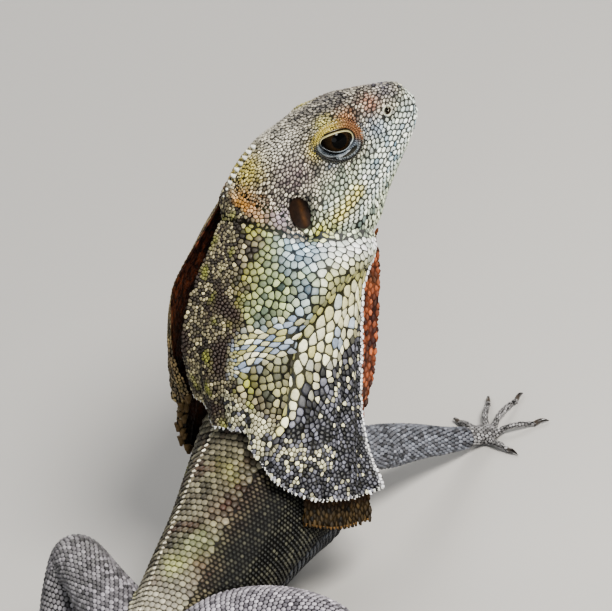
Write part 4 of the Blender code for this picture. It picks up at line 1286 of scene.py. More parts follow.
class Lobe:
    """A lobe of the frill: a thin sheet from the head's skin to its rim, with an outer and an inner face."""

    def __init__(self, name, net, across, down, skin, outward, pleats=1.0, bulge=0.0, roots=8):
        grid = sheet_points(net, across, down, pleats, bulge * outward)
        grid = held_off(grid, skin, FRILL_CLEAR + SKIN_DEPTH, 6)
        if roots:
            grid = rooted(grid, skin, roots)
        self.name = name
        self.grid = grid
        self.n = sheet_normals(grid) * outward
        down_share = np.concatenate([np.full(roots, 0.0), np.linspace(0, 1, down)])
        self.u, self.v = np.meshgrid(np.linspace(0, 1, across), down_share)
        self.way = unit(np.gradient(grid, axis=0))
        self.outward = outward

    def face(self, sign):
        """The outer (1) or inner (-1) face as a surface to lay scales on."""
        rows, columns = self.grid.shape[:2]
        points = (self.grid + self.n * HALF_SHEET * sign).reshape(-1, 3)
        faces = []
        for i in range(rows - 1):
            for j in range(columns - 1):
                a = i * columns + j
                quad = (a, a + 1, a + columns + 1, a + columns)
                faces.append(quad if sign * self.outward < 0 else quad[::-1])
        mesh = bpy.data.meshes.new("face")
        mesh.from_pydata(points.tolist(), [], faces)
        mesh.update()
        surface = Surface(mesh)
        if (surface.normals * self.n.reshape(-1, 3) * sign).sum() < 0:
            mesh.flip_normals()
            surface = Surface(mesh)
        surface.u = self.u.reshape(-1)
        surface.v = self.v.reshape(-1)
        surface.way = self.way.reshape(-1, 3)
        return surface

    def solid(self):
        """Closed mesh of the sheet, its two faces joined round the edge, and the shares of each of its
        points.
        """
        rows, columns = self.grid.shape[:2]
        bm = bmesh.new()
        share = bm.verts.layers.float_vector.new("share")
        layers = []
        for sign in (1, -1):
            layer = [[bm.verts.new(self.grid[i, j] + self.n[i, j] * HALF_SHEET * sign)
                      for j in range(columns)] for i in range(rows)]
            for i in range(rows):
                for j in range(columns):
                    layer[i][j][share] = (self.u[i, j], self.v[i, j], sign)
            layers.append(layer)
            for i in range(rows - 1):
                for j in range(columns - 1):
                    quad = (layer[i][j], layer[i][j + 1], layer[i + 1][j + 1], layer[i + 1][j])
                    bm.faces.new(quad)
        border = [(0, j) for j in range(columns)] + [(i, columns - 1) for i in range(1, rows)]
        border += [(rows - 1, j) for j in range(columns - 2, -1, -1)]
        border += [(i, 0) for i in range(rows - 2, 0, -1)]
        for (i, j), (k, m) in zip(border, border[1:] + border[:1]):
            bm.faces.new((layers[0][i][j], layers[0][k][m], layers[1][k][m], layers[1][i][j]))
        bmesh.ops.recalc_face_normals(bm, faces=bm.faces)
        mesh = mesh_from(bm, self.name)
        return linked(self.name, mesh)


def sheet_map(u, v):
    return np.stack([u, v], axis=1) * 0.96 + 0.02


def shares_at(surface, which):
    tri = surface.tris[which]
    return surface.u[tri].mean(axis=1), surface.v[tri].mean(axis=1), unit(surface.way[tri].mean(axis=1))


def outer_gap(u, v):
    """Scale size on the outer face of a lobe: small at the nape, wide on the cheek, small at the rim."""
    cheek = np.interp(u, [0.0, 0.16, 0.24, 0.34, 0.5, 0.6, 1.0], [1.1, 1.2, 1.9, 2.25, 2.4, 2.6, 2.4])
    past = v - crease_at(u)
    big = np.interp(past, [-1, 0.0, 0.05, 0.22, 0.34, 0.6], [1, 1, 1.45, 1.25, 0.6, 0.5])
    big = np.where(u < 0.3, np.interp(v, [0.3, 0.42], [1.0, 0.6]) * np.ones_like(u), big)
    big = np.where(u < 0.51, np.minimum(big, np.interp(v, [0.62, 0.7], [1.2, 0.62])), big)
    near_root = np.interp(v, [0, 0.08], [0.7, 1.0])
    edge = np.interp(u, [0.93, 1.0], [1, 0.5])
    return np.maximum(cheek * big * near_root * edge, 1.12)


def stretch(u, v):
    """Length to width of the scales on the outer face."""
    past = v - crease_at(u)
    pointed = np.interp(past, [-0.4, -0.1, 0.0, 0.08, 0.3, 0.5], [1.0, 1.05, 1.2, 1.7, 1.5, 1.15])
    pointed = np.where((u < 0.5) & (v > 0.6), 1.1, pointed)
    return np.where(beside_crease(u, v) > 0.4, 1 + 1.3 * beside_crease(u, v), pointed)


def beside_crease(u, v):
    """1 in the band of long scales that runs down beside the deep fold, 0 elsewhere."""
    middle = np.interp(u, [0.2, 0.3, 0.42, 0.56], [0.64, 0.55, 0.48, 0.40])
    return bell(v, middle, 0.06, 4) * np.interp(u, [0.24, 0.31, 0.53, 0.57], [0, 1, 1, 0])


def lobe_bed(surface, gap_of_shares, seed, rounds):
    """Scale places on one face of a lobe, evenly spread."""
    def gap_of(points):
        u, v, _ = shares_at(surface, surface.nearest(points)[3])
        return gap_of_shares(u, v)

    points = surface.scattered(gap_of, lambda m: np.ones(len(m), bool), 0.82, seed)
    points = relaxed(surface, points, gap_of, np.zeros(len(points), bool), rounds)
    place, n, _, which = surface.nearest(points)
    u, v, way = shares_at(surface, which)
    return place, n, u, v, way, gap_of_shares(u, v)


# Colours of the scales
def mottle(points, size, seed):
    """Even unevenness between about -1 and 1, with spots of the given size in millimetres."""
    off = Vector((seed * 17.3, seed * 5.1, seed * 29.7))
    return np.array([noise.noise(Vector(p) / size + off) for p in np.asarray(points).tolist()]) * 1.6


def mixed(a, b, share):
    share = np.clip(share, 0, 1)[..., None]
    return a * (1 - share) + b * share


def ramped(value, stops):
    """Colour by value: stops are pairs of value and colour."""
    at = [s[0] for s in stops]
    colours = np.array([s[1] for s in stops])
    return np.stack([np.interp(value, at, colours[:, k]) for k in range(3)], axis=-1)


def varied(colour, points, amount, seed):
    """Each scale a little lighter or darker than the next."""
    rng = np.random.default_rng(seed)
    shade = np.exp(rng.normal(0, amount, len(points)) + 0.14 * mottle(points, 4.0, seed))
    return np.clip(colour * shade[:, None], 0, 1)


def speckled(dark, pale, points, seed, even=1.0):
    """Scale by scale anything between the dark and the pale colour; a higher even gives fewer pale ones."""
    return mixed(dark, pale, np.random.default_rng(seed).random(len(points)) ** even)


def speckle(dark, pale, points, seed, even=1.0):
    """As speckled, with the colours as a painter names them."""
    return speckled(paint(*dark), paint(*pale), points, seed, even)


# Coloured patches of the head: sideways, ahead and high of the ears, size, colour, strength
PATCHES = (
    ((13.7, 17.9, 10.1), 2.2, (204, 184, 66), 0.9), ((10.6, 26.5, 13.6), 2.4, (204, 194, 104), 0.8),
    ((9.6, 32.5, 9.3), 2.2, (186, 124, 62), 0.8), ((11.1, 32.5, 6.4), 1.6, (120, 72, 48), 0.8),
    ((7.1, 41.8, 5.2), 2.4, (206, 152, 124), 0.75), ((3.8, 49, 3.6), 3.2, (104, 100, 116), 0.7),
    ((11.2, 37.4, -2), 3.4, (150, 162, 176), 0.85), ((14.8, 18.7, 3.0), 1.8, (72, 78, 104), 0.8),
    ((16.5, 14, -4), 4.5, (168, 182, 160), 0.6), ((19.1, 18.6, -9.7), 2.0, (226, 212, 100), 0.85),
    ((20.2, 13.6, -9.6), 2.0, (224, 208, 92), 0.8), ((21.3, 8.4, -9.5), 2.2, (222, 206, 84), 0.8),
    ((21.2, 0.2, -9.3), 2.4, (206, 200, 70), 0.8), ((4.1, -2.4, 16), 4.2, (196, 178, 62), 0.8),
    ((8.1, -12.9, 12.7), 3.4, (204, 146, 54), 0.85), ((12.4, -11.6, 8.3), 3.6, (186, 130, 66), 0.7),
    ((18.7, -13.2, 2.8), 3.6, (150, 132, 112), 0.6), ((19.6, -6, 4), 2.6, (176, 160, 172), 0.8),
    ((0.1, 33.1, 13), 6.5, (92, 88, 90), 0.6), ((7.3, 9.4, 16.3), 5.5, (224, 220, 206), 0.5),
    ((14.6, 7.1, 9.5), 4.5, (112, 92, 98), 0.6),
)


# Coloured patches of the trunk: place, size, colour, strength
TRUNK_PATCHES = (
    ((6.5, 56, 62.5), 4.0, (156, 152, 92), 0.5), ((7.3, 29.5, 51.3), 4.2, (172, 180, 132), 0.55),
    ((2.5, 20, 50), 3.5, (172, 176, 124), 0.5), ((10, 42.3, 56), 3.6, (84, 56, 46), 0.65),
    ((12, 24, 48), 3.2, (92, 58, 50), 0.6), ((14, 50, 58), 4.5, (70, 48, 40), 0.65),
)


def body_tint(p, coat_of, share):
    """Colours of head, trunk, tail and limbs."""
    side, ahead, high = head_place(p)
    back = speckle((34, 29, 23), (140, 134, 112), p, 61)
    back = mixed(back, paint(70, 48, 40), 1.3 * mottle(p, 6, 2) - 0.35)
    back = mixed(back, paint(158, 160, 100), 1.5 * mottle(p, 9, 3) - 0.75)
    tint = mixed(back, paint(186, 180, 164), np.interp(p[:, 1], [8, 24], [0.55, 0]) * (np.abs(p[:, 0]) < 30))
    around = np.abs(share[:, 1] - 0.5) * 2
    flank = speckle((10, 11, 9), (72, 71, 58), p, 62, 3.0)
    edge = speckle((36, 28, 21), (108, 100, 78), p, 60, 1.8)
    flank = mixed(edge, flank, (around - 0.31 - 0.04 * mottle(p, 8, 4)) / 0.06)
    # The belly's own dark grey, darkened further as painted shadow, since the belly lies in shade
    belly = speckle((24, 26, 30), (62, 66, 73), p, 59)
    flank = mixed(flank, belly, np.interp(around, [0.68, 0.8], [0, 0.8]))
    tint = np.where((coat_of == "belly")[:, None], belly, tint)
    tint = np.where((coat_of == "flank")[:, None], flank, tint)
    for place, size, colour, amount in TRUNK_PATCHES:
        away = ((p - np.array(place)) ** 2).sum(axis=1)
        patchy = 0.45 + 0.75 * np.random.default_rng(56).random(len(p))
        tint = mixed(tint, speckled(paint(*colour) * 0.45, paint(*colour) * 1.1, p, 58),
                     amount * patchy * np.exp(-0.5 * away / size ** 2))
    tail = speckle((104, 96, 80), (150, 144, 124), p, 63)
    tail = mixed(tail, paint(66, 56, 46), 0.7 * (np.sin(p[:, 1] / 4.6) > 0.45) * (0.6 + mottle(p, 5, 6)))
    tint = np.where((coat_of == "tail")[:, None], tail, tint)
    limb = speckle((52, 50, 54), (166, 161, 167), p, 64, 1.3)
    limb = mixed(limb, speckle((74, 72, 72), (140, 138, 138), p, 55), step_down(p[:, 0], -30, 4) * 0.6)
    thigh = step_down(-p[:, 0], -12, 6) * step_down(p[:, 1], 60, 8)
    limb = mixed(limb, speckle((104, 100, 108), (204, 198, 206), p, 54), thigh * 0.8)
    limb = mixed(limb, speckle((36, 38, 44), (134, 138, 148), p, 57), step_down(-p[:, 1], -86, 4) * 0.85)
    tint = np.where((coat_of == "limbs")[:, None], limb, tint)
    digits = speckle((92, 90, 90), (164, 162, 162), p, 65)
    tint = np.where((coat_of == "digits")[:, None], digits, tint)
    head = speckle((28, 24, 24), (222, 214, 194), p, 66, 1.3)
    # Painted shade: the top of the head is darkened, where less light falls on it
    head = mixed(head, paint(34, 29, 31), 0.3 * step_down(-high, -11, 3))
    # The cheek's pale scales are their own colour, made paler still as painted light where the light falls on
    # the cheek
    cheek = speckle((72, 88, 84), (236, 244, 214), p, 67, 0.85)
    head = mixed(head, cheek, step_down(high, -3, 1.6) * (ahead > -5))
    lips = speckle((112, 136, 152), (242, 246, 234), p, 68, 0.6)
    head = mixed(head, lips, np.exp(-((high - mouth_height(ahead) - 0.5) / 6.0) ** 4) * (ahead > 6))
    for place, size, colour, amount in PATCHES:
        away = (np.abs(side) - place[0]) ** 2 + (ahead - place[1]) ** 2 + (high - place[2]) ** 2
        head = mixed(head, speckled(paint(*colour) * 0.7, paint(*colour) * 1.25, p, 69),
                     amount * np.exp(-0.5 * away / size ** 2))
    return np.where((coat_of == "head")[:, None], head, tint)


def outer_tint(u, v, p):
    """Colours of the outer face of a lobe: bright cheek, dark grey below with pale scales scattered."""
    past = v - crease_at(u)
    chance = np.random.default_rng(27).random(len(p))

    nape = speckle((38, 29, 23), (186, 176, 138), p, 71, 2.6)
    nape = mixed(nape, paint(132, 134, 62), 1.5 * mottle(p, 5, 23) - 0.5)
    nape = mixed(nape, paint(44, 30, 24), 1.5 * mottle(p, 8, 24) - 0.05)

    olive = speckle((46, 47, 32), (190, 182, 88), p, 72, 1.4)
    green = speckle((52, 68, 62), (182, 192, 140), p, 73, 1.2)
    sky = speckle((122, 150, 172), (226, 240, 246), p, 74)
    white = speckle((226, 234, 226), (254, 254, 250), p, 75)
    cream = speckle((156, 160, 112), (246, 244, 206), p, 76)
    top = ramped_rows(u, (0.24, 0.36, 0.46, 0.56, 0.66, 1.0), (olive, green, sky, sky, white, white))
    patchy = mixed(sky, green, chance)
    mid = ramped_rows(u, (0.24, 0.36, 0.46, 0.56, 0.64, 1.0), (olive, green, green, patchy, cream, cream))
    bright = mixed(top, mid, (v - 0.13) / 0.1)
    band = np.exp(-((u - 0.55) / 0.05) ** 2 - ((v - 0.29) / 0.05) ** 2)
    bright = mixed(bright, paint(84, 100, 118), band * 0.8)
    above_crease = speckle((96, 98, 60), (150, 146, 84), p, 77)
    bright = mixed(bright, above_crease, np.interp(past, [-0.1, -0.02], [0, 0.8]) * (u > 0.57))
    rows = np.where((chance < 0.4)[:, None], speckle((112, 126, 148), (196, 208, 220), p, 78),
                    speckle((164, 160, 104), (238, 234, 200), p, 79))
    bright = mixed(bright, rows, beside_crease(u, v) * 1.2)

    behind = (u - 0.24 - 0.05 * mottle(p, 6, 80)) / 0.05
    below = np.interp(v + 0.04 * mottle(p, 5, 81), [0.42, 0.5], [1, 0])
    tint = mixed(nape, bright, behind * below)
    beside = speckle((60, 62, 50), (184, 180, 132), p, 82, 1.5)
    tint = mixed(tint, beside, np.exp(-((u - 0.46) / 0.06) ** 4 - ((v - 0.57) / 0.07) ** 4) * 1.2)
    tint = mixed(tint, rows, beside_crease(u, v) * 1.2)

    # shade is painted shade in the hollow just below the crease
    shade = speckle((130, 130, 84), (170, 166, 104), p, 83)
    pale = np.where((chance < 0.1)[:, None], speckle((120, 134, 156), (190, 202, 214), p, 84),
                    speckle((184, 178, 118), (240, 238, 208), p, 85))
    low = speckle((16, 16, 20), (126, 126, 138), p, 86, 2.2)
    # Painted shade along the small pleats of the sheet, in step with their waves
    pleat_shade = np.sin(2 * math.pi * PLEATS * FINE_PLEATS * u + 4 * v)
    low = low * (1 - 0.45 * np.clip(pleat_shade, 0, 1) * np.interp(u, [0.6, 0.75], [0.3, 1]))[:, None]
    spots = chance < np.interp(past, [0.16, 0.3, 0.5, 0.8], [0.75, 0.16, 0.05, 0.07])
    spots |= (chance < 0.15) & (u < 0.5)
    light_band = bell(v, 0.85, 0.08) * np.interp(u, [0.4, 0.5, 0.72, 0.8], [0, 1, 1, 0])
    spots |= chance < 0.55 * light_band
    low = np.where(spots[:, None], speckle((138, 134, 112), (230, 226, 190), p, 87), low)
    recess = mixed(shade, pale, (past - 0.05) / 0.05)
    recess = mixed(recess, low, (past - 0.2 - 0.06 * mottle(p, 6, 88)) / 0.05)

    tint = mixed(tint, recess, past / 0.015 * (u > 0.5))
    tint = mixed(tint, low, (past + 0.02) / 0.04 * (u > 0.38) * (u <= 0.5) * (v > 0.64))
    tint = mixed(tint, low, (v - 0.68) / 0.06 * (u > 0.22) * (u <= 0.5))
    return mixed(tint, paint(236, 236, 238), (u - 0.984) / 0.008)


def ramped_rows(value, stops, rows):
    """As ramped, with a colour of its own for each scale at every stop."""
    out = rows[0]
    for low, high, row in zip(stops, stops[1:], rows[1:]):
        out = mixed(out, row, (value - low) / (high - low))
    return out


def inner_tint(u, v, p):
    """Colours of the inner face: brick red and orange near the throat, brown towards the rim."""
    warm = mixed(paint(58, 26, 20), paint(166, 92, 58), 0.4 + 1.2 * mottle(p * (1, 1, 0.3), 1.3, 31))
    dark = mixed(paint(70, 42, 26), paint(110, 78, 46), 0.5 + 0.9 * mottle(p, 5, 32))
    inside = mixed(warm, dark, np.clip(np.abs(v - 0.35) * 1.6, 0, 1))
    return mixed(inside, speckle((14, 11, 6), (70, 54, 26), p, 53), (v - 0.8) / 0.12)


# Materials
def horn_grain_group():
    """Unevenness of horny skin: a shade that drifts, and a fine height with short streaks."""
    wire, given, end = group_tree("horn_grain", (("Size", FLOAT, 900.0), ("Depth", FLOAT, 0.3)),
                                  (("Shade", FLOAT), ("Height", FLOAT)))
    place = wire.add("ShaderNodeTexCoord", {}).outputs["Object"]
    drift = {"Vector": place, "Scale": given["Size"], "Detail": 5, "Roughness": 0.6}
    drift = wire.add("ShaderNodeTexNoise", drift).outputs["Fac"]
    fine = {"Vector": place, "Scale": wire.maths("MULTIPLY", given["Size"], 3.4), "Detail": 3}
    fine = wire.add("ShaderNodeTexNoise", fine).outputs["Fac"]
    low = wire.maths("SUBTRACT", 1.0, given["Depth"])
    wire.feed(end.inputs["Shade"], wire.spread(drift, 0.3, 0.7, low, 1.0))
    wire.feed(end.inputs["Height"], wire.maths("ADD", drift, fine))
    return wire.tree


def seam_group():
    """Painted shade at a scale's foot, its own colour on top; the crown paler, a little rubbed and with
    painted sheen.
    """
    wire, given, end = group_tree(
        "scale_seam", (("Tint", "NodeSocketColor", None), ("Foot", FLOAT, 0.2), ("Wear", FLOAT, 0.15)),
        (("Color", "NodeSocketColor"),))
    rise = wire.stored("rise", "Fac")
    # Painted shade: the low sides of each scale darken towards its foot, in the gaps between scales
    own = wire.vector("SCALE", given["Tint"], wire.spread(rise, 0.1, 0.76, given["Foot"], 1.0))
    # The crown is mixed towards a pale colour: a little wear, and painted sheen
    crown_wear_and_sheen = wire.spread(rise, 0.85, 1.1, 0.0, given["Wear"])
    # Inputs 6 and 7 and output 2 are the colours of this node
    mix = wire.add("ShaderNodeMix", {"Factor": crown_wear_and_sheen, 6: own, 7: PALE_WEAR_AND_SHEEN}, data_type="RGBA")
    wire.feed(end.inputs["Color"], mix.outputs[2])
    return wire.tree


def horn_material(name, grain, seam, size=900.0, depth=0.3, foot=0.2, wear=0.12, rough=(0.42, 0.62),
                  bump=0.25, plates=True, coat_weight=0.0, shine=0.5):
    """Horny skin or scale whose colour comes from the piece's own tint."""
    material, wire, shader = new_material(name)
    colour = wire.stored("tint", "Color")
    if plates:
        # Foot sets the painted shade at each scale's foot; the pale crown is a little wear with painted sheen
        inputs = {"Tint": colour, "Foot": foot, "Wear": wear}
        colour = wire.add("ShaderNodeGroup", inputs, node_tree=seam).outputs["Color"]
    horn = wire.add("ShaderNodeGroup", {"Size": size, "Depth": depth}, node_tree=grain).outputs
    relief = {"Strength": bump, "Distance": 0.0002, "Height": horn["Height"]}
    wire.feed(shader["Base Color"], wire.vector("SCALE", colour, horn["Shade"]))
    wire.feed(shader["Roughness"], wire.spread(horn["Shade"], 0.0, 1.0, rough[1], rough[0]))
    wire.feed(shader["Normal"], wire.add("ShaderNodeBump", relief).outputs["Normal"])
    shader["Coat Weight"].default_value = coat_weight
    shader["Specular IOR Level"].default_value = shine
    return material


def eye_material():
    """Dark brown iris with fine spokes round a black pupil, under a wet cornea."""
    material, wire, shader = new_material("eye")
    ramp = wire.add("ShaderNodeValToRGB", {"Fac": wire.stored("from_middle", "Fac")})
    stops = ramp.color_ramp.elements
    stops[0].color = (0.002, 0.002, 0.002, 1)
    stops[1].color = (0.006, 0.005, 0.004, 1)
    for at, colour in ((0.27, (0.002, 0.002, 0.002, 1)), (0.32, (0.020, 0.011, 0.005, 1)),
                       (0.46, (0.012, 0.008, 0.004, 1)), (0.60, (0.006, 0.004, 0.003, 1)),
                       (0.68, (0.003, 0.003, 0.003, 1))):
        stops.new(at).color = colour
    spokes = {"Vector": wire.stored("spoke", "Vector"), "Scale": 5.0, "Detail": 6}
    shade = wire.spread(wire.add("ShaderNodeTexNoise", spokes).outputs["Fac"], 0.3, 0.7, 0.5, 1.6)
    wire.feed(shader["Base Color"], wire.vector("SCALE", ramp.outputs["Color"], shade))
    for key, value in (("Roughness", 0.06), ("Specular IOR Level", 0.03), ("Coat Weight", 0.08),
                       ("Coat Roughness", 0.02)):
        shader[key].default_value = value
    return material


# Small pieces
def piece_from(name, points, faces, material, tint):
    """A finished piece from points in the animal's millimetres, with its colour kept on its points."""
    mesh = bpy.data.meshes.new(name)
    mesh.from_pydata(placed(points).tolist(), [], faces)
    mesh.validate()
    bm = bmesh.new()
    bm.from_mesh(mesh)
    bmesh.ops.recalc_face_normals(bm, faces=bm.faces)
    bm.to_mesh(mesh)
    bm.free()
    if tint is not None:
        set_attribute(mesh, "tint", "FLOAT_COLOR", "POINT", tint)
    mesh.materials.append(material)
    mesh.shade_smooth()
    thing = linked(name, mesh)
    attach(thing, "root")
    return thing


def ring_faces(rows, columns, closed_end=False):
    """Faces of rows of rings; with closed_end the last row is one point."""
    faces = []
    full = rows - 1 if closed_end else rows
    for i in range(full - 1):
        for j in range(columns):
            k = (j + 1) % columns
            faces.append((i * columns + j, i * columns + k, (i + 1) * columns + k, (i + 1) * columns + j))
    if closed_end:
        last = full * columns
        for j in range(columns):
            faces.append(((full - 1) * columns + j, (full - 1) * columns + (j + 1) % columns, last))
    return faces


def of_side(name, sign):
    return name + ("_right" if sign > 0 else "_left")


def onto_side(skin, sign, start):
    """Where a line from outside the head meets the skin of that side, or None."""
    return skin.tree.ray_cast(Vector(start), Vector(-RIGHT * sign))[0]


def eye(sign, material):
    """Eyeball with its front turned a little forwards; rings run round its line of sight."""
    sight = unit(RIGHT * sign + FORWARD * 0.10 + UP * 0.06)
    across = unit(np.cross(UP, sight))
    over = np.cross(sight, across)
    rings = 40
    turns = 64
    points = []
    out = []
    spoke = []
    for i in range(rings):
        a = math.pi * (i + 0.5) / rings
        bulge = EYE_RADIUS * (1 + 0.03 * math.exp(-(a / 0.5) ** 2))
        for j in range(turns):
            b = 2 * math.pi * j / turns
            round_it = across * math.cos(b) + over * math.sin(b)
            points.append(eye_centre(sign) + bulge * (sight * math.cos(a) + math.sin(a) * round_it))
            out.append(a * 2 / math.pi)
            spoke.append((math.cos(b) * 3, math.sin(b) * 3, a * 0.8))
    faces = ring_faces(rings, turns)
    faces.append(tuple(range(turns)))
    faces.append(tuple(range((rings - 1) * turns, rings * turns)))
    thing = piece_from(of_side("eyeball", sign), points, faces, material, None)
    set_attribute(thing.data, "from_middle", "FLOAT", "POINT", out)
    set_attribute(thing.data, "spoke", "FLOAT_VECTOR", "POINT", spoke)
    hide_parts("eye_right" if sign > 0 else "eye_left")


# Lids from the opening outwards: distance out from it, and height over the eyeball or the skin
LID_PROFILE = ((-0.3, -0.5), (0.0, 0.1), (0.15, 0.36), (0.34, 0.4), (0.52, 0.1), (0.72, -0.15),
               (1.0, 0.1), (1.4, 0.6), (2.0, 0.75), (2.6, 0.5), (3.1, 0.05), (3.6, -0.5))


def lid_point(sign, skin, out, turn):
    """Point of the lids, out millimetres from the opening, turned about it from the front corner upwards."""
    lift = float(np.interp(out, *zip(*LID_PROFILE)))
    along = (OPENING[0] + out) * math.cos(turn)
    over = (OPENING[1] + out) * math.sin(turn) * (1 + 0.10 * math.cos(turn))
    ahead = along * math.cos(LID_SLOPE) - over * math.sin(LID_SLOPE)
    high = along * math.sin(LID_SLOPE) + over * math.cos(LID_SLOPE)
    start = eye_centre(sign) + FORWARD * ahead + UP * high
    ball = math.sqrt(max(EYE_RADIUS ** 2 - ahead ** 2 - high ** 2, 9.0)) + lift
    hit = onto_side(skin, sign, start + RIGHT * sign * 20)
    flesh = (np.array(hit) - start) @ (RIGHT * sign) + lift if hit is not None else ball
    share = softened(min(max((out - 0.9) / 1.5, 0), 1))
    return start + RIGHT * sign * (ball * (1 - share) + flesh * share)


def lid_colour(out, turn):
    """Upper lid: pale margin, groove of painted shade, hood. Lower lid: grey-blue, groove of painted shade.
    """
    upper = step_down(-math.sin(turn + 0.12), 0.0, 0.08)
    front = step_down(-math.cos(turn), -0.1, 0.15)
    hood = paint(172, 156, 78) * (1 - front) + paint(128, 88, 58) * front
    # From 0.6 to 0.95 out: painted shade in the groove under the hood
    above = ramped(out, [(0.05, paint(70, 60, 46)), (0.2, paint(190, 184, 140)), (0.4, paint(176, 168, 122)),
                         (0.6, paint(40, 30, 22)), (0.95, paint(36, 27, 21)), (1.4, hood), (3.6, hood)])
    crescent = step_down(-math.cos(turn + 0.35), -0.25, 0.12)
    margin = paint(60, 66, 70) * (1 - crescent) + paint(176, 188, 194) * crescent
    # At 0.72 out: painted shade in the lower lid's groove
    below = ramped(out, [(0.05, paint(40, 44, 48)), (0.2, margin), (0.5, margin), (0.72, paint(30, 32, 34)),
                         (1.0, paint(40, 44, 50)), (1.4, paint(96, 104, 112)), (2.2, paint(108, 114, 116)),
                         (2.75, paint(40, 38, 36)), (3.6, paint(140, 140, 126))])
    return above * upper + below * (1 - upper)


def lids(sign, skin, material):
    """Both lids as one ring of skin: a thick margin on the eyeball, a groove, then a hood into the face."""
    turns = 72
    points = []
    tints = []
    for out, _ in LID_PROFILE:
        for j in range(turns):
            turn = 2 * math.pi * j / turns
            points.append(lid_point(sign, skin, out, turn))
            tints.append(lid_colour(out, turn))
    points = np.array(points)
    tints = varied(np.array(tints), points, 0.06, 41)
    piece_from(of_side("lids", sign), points, ring_faces(len(LID_PROFILE), turns), material, tints)


def lid_scales(sign, skin):
    """Rows of small scales on the hood of the lids: places, normals, lie and colours."""
    rows = []
    for k, out in enumerate((1.45, 2.1, 2.75, 3.35)):
        mean = math.sqrt(((OPENING[0] + out) ** 2 + (OPENING[1] + out) ** 2) / 2)
        count = int(2 * math.pi * mean / LID_SCALE)
        for j in range(count):
            turn = 2 * math.pi * (j + 0.5 * (k % 2)) / count
            p = lid_point(sign, skin, out, turn)
            over = lid_point(sign, skin, out + 0.1, turn) - p
            aside = lid_point(sign, skin, out, turn + 0.05) - p
            n = unit(np.cross(aside, over))
            n = n * np.sign(n @ RIGHT * sign)
            rows.append((p, n, unit(over), lid_colour(out, turn)))
    return [np.array(column) for column in zip(*rows)]


def eardrum(sign, skin, material):
    """Thin brown skin stretched over the ear, dished in the middle, with a paler streak down it."""
    turns = 40
    angles = [2 * math.pi * j / turns for j in range(turns)]
    rim = []
    for a in angles:
        hit = onto_side(skin, sign, on_head(sign * 34, *in_ear(a, EARDRUM[0])))
        rim.append((np.array(hit) - EARS) @ (RIGHT * sign))
    rim = np.array(rim)
    points = []
    tints = []
    for share in EARDRUM:
        for a, level in zip(angles, rim):
            level = level * share + rim.mean() * (1 - share)
            aside = share * math.cos(a) - 0.25
            deep = 1.3 + 0.55 * (1 - share ** 2) - 0.12 * math.exp(-(aside / 0.14) ** 2)
            points.append(on_head(sign * (level - deep), *in_ear(a, share)))
            streak = math.exp(-(aside / 0.22) ** 2) * (1 - share ** 4)
            streak = streak * (0.75 - 0.4 * share * math.sin(a))
            tints.append(mixed(paint(34, 21, 12), paint(124, 84, 44), np.array(0.32 * streak)))
    points.append(on_head(sign * (rim.mean() - 1.85), *in_ear(0, 0)))
    tints.append(paint(44, 27, 14))
    points = np.array(points)
    tints = varied(np.array(tints), points, 0.08, 42)
    piece_from(of_side("eardrum", sign), points, ring_faces(7, turns, True), material, tints)


def nostril(sign, skin, material):
    """Raised pale ring round the nostril, with a tube that goes in."""
    hit = onto_side(skin, sign, on_head(sign * 25, NOSTRIL[0] + 1.9, NOSTRIL[1]))
    centre = on_head(sign * (abs((np.array(hit) - EARS) @ RIGHT) + 0.15), *NOSTRIL)
    out = unit(RIGHT * sign + FORWARD * 0.35 + UP * 0.15)
    across = unit(np.cross(UP, out))
    over = np.cross(out, across)
    # Half width and height over the skin, from the foot of the ring to the end of the tube
    profile = ((2.8, -0.5), (2.35, 0.1), (1.95, 0.42), (1.5, 0.36), (1.15, 0.05), (1.0, -0.6),
               (0.8, -1.6), (0.3, -2.1))
    turns = 28
    points = []
    tints = []
    for k, (wide, lift) in enumerate(profile):
        for j in range(turns):
            a = 2 * math.pi * j / turns
            wavy = wide + (0.06 * math.cos(9 * a) if k in (1, 2) else 0)
            points.append(centre + across * wavy * math.cos(a) * 1.08 + over * wavy * math.sin(a) * 0.92
                          + out * lift)
            # The ring keeps its pale colour; inside the tube the colour is painted shade, darker the deeper
            # it goes
            tints.append(paint(192, 192, 172) if k < 4 else paint(70, 50, 36) * (0.5 if k == 4 else 0.2))
    points = np.array(points)
    tints = varied(np.array(tints), points, 0.06, 43)
    piece_from(of_side("nostril", sign), points, ring_faces(len(profile), turns), material, tints)


def claws(name, ends, material):
    """The claws of one hand or foot: curved, narrower than high, pointed."""
    bm = bmesh.new()
    tint = bm.verts.layers.float_color.new("tint")
    for end, heading, thin in ends:
        rows = [(*(end - heading * 0.9 + Z * 0.25), thin * 0.80, thin * 0.86)]
        for share, rise, wide, tall in ((0.2, 0.72, 0.74, 0.92), (0.5, 0.75, 0.52, 0.72),
                                        (0.8, 0.25, 0.28, 0.40), (0.99, -0.28, 0.08, 0.10)):
            rows.append((*(end + heading * CLAW * share + Z * rise), wide, tall))
        before = len(bm.verts)
        add_rings(bm, tube_rings(curve(rows, 4), 12))
        bm.verts.ensure_lookup_table()
        for v in bm.verts[before:]:
            share = (np.array(v.co) - end) @ heading / CLAW
            v[tint] = (*mixed(paint(74, 66, 58), paint(26, 22, 21), np.array(share * 1.8)), 1)
            v.co.z = max(v.co.z, 0.03)
    for v in bm.verts:
        v.co = Vector(placed(v.co))
    bmesh.ops.recalc_face_normals(bm, faces=bm.faces)
    mesh = mesh_from(bm, name)
    mesh.materials.append(material)
    mesh.shade_smooth()
    thing = linked(name, mesh)
    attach(thing, "root")


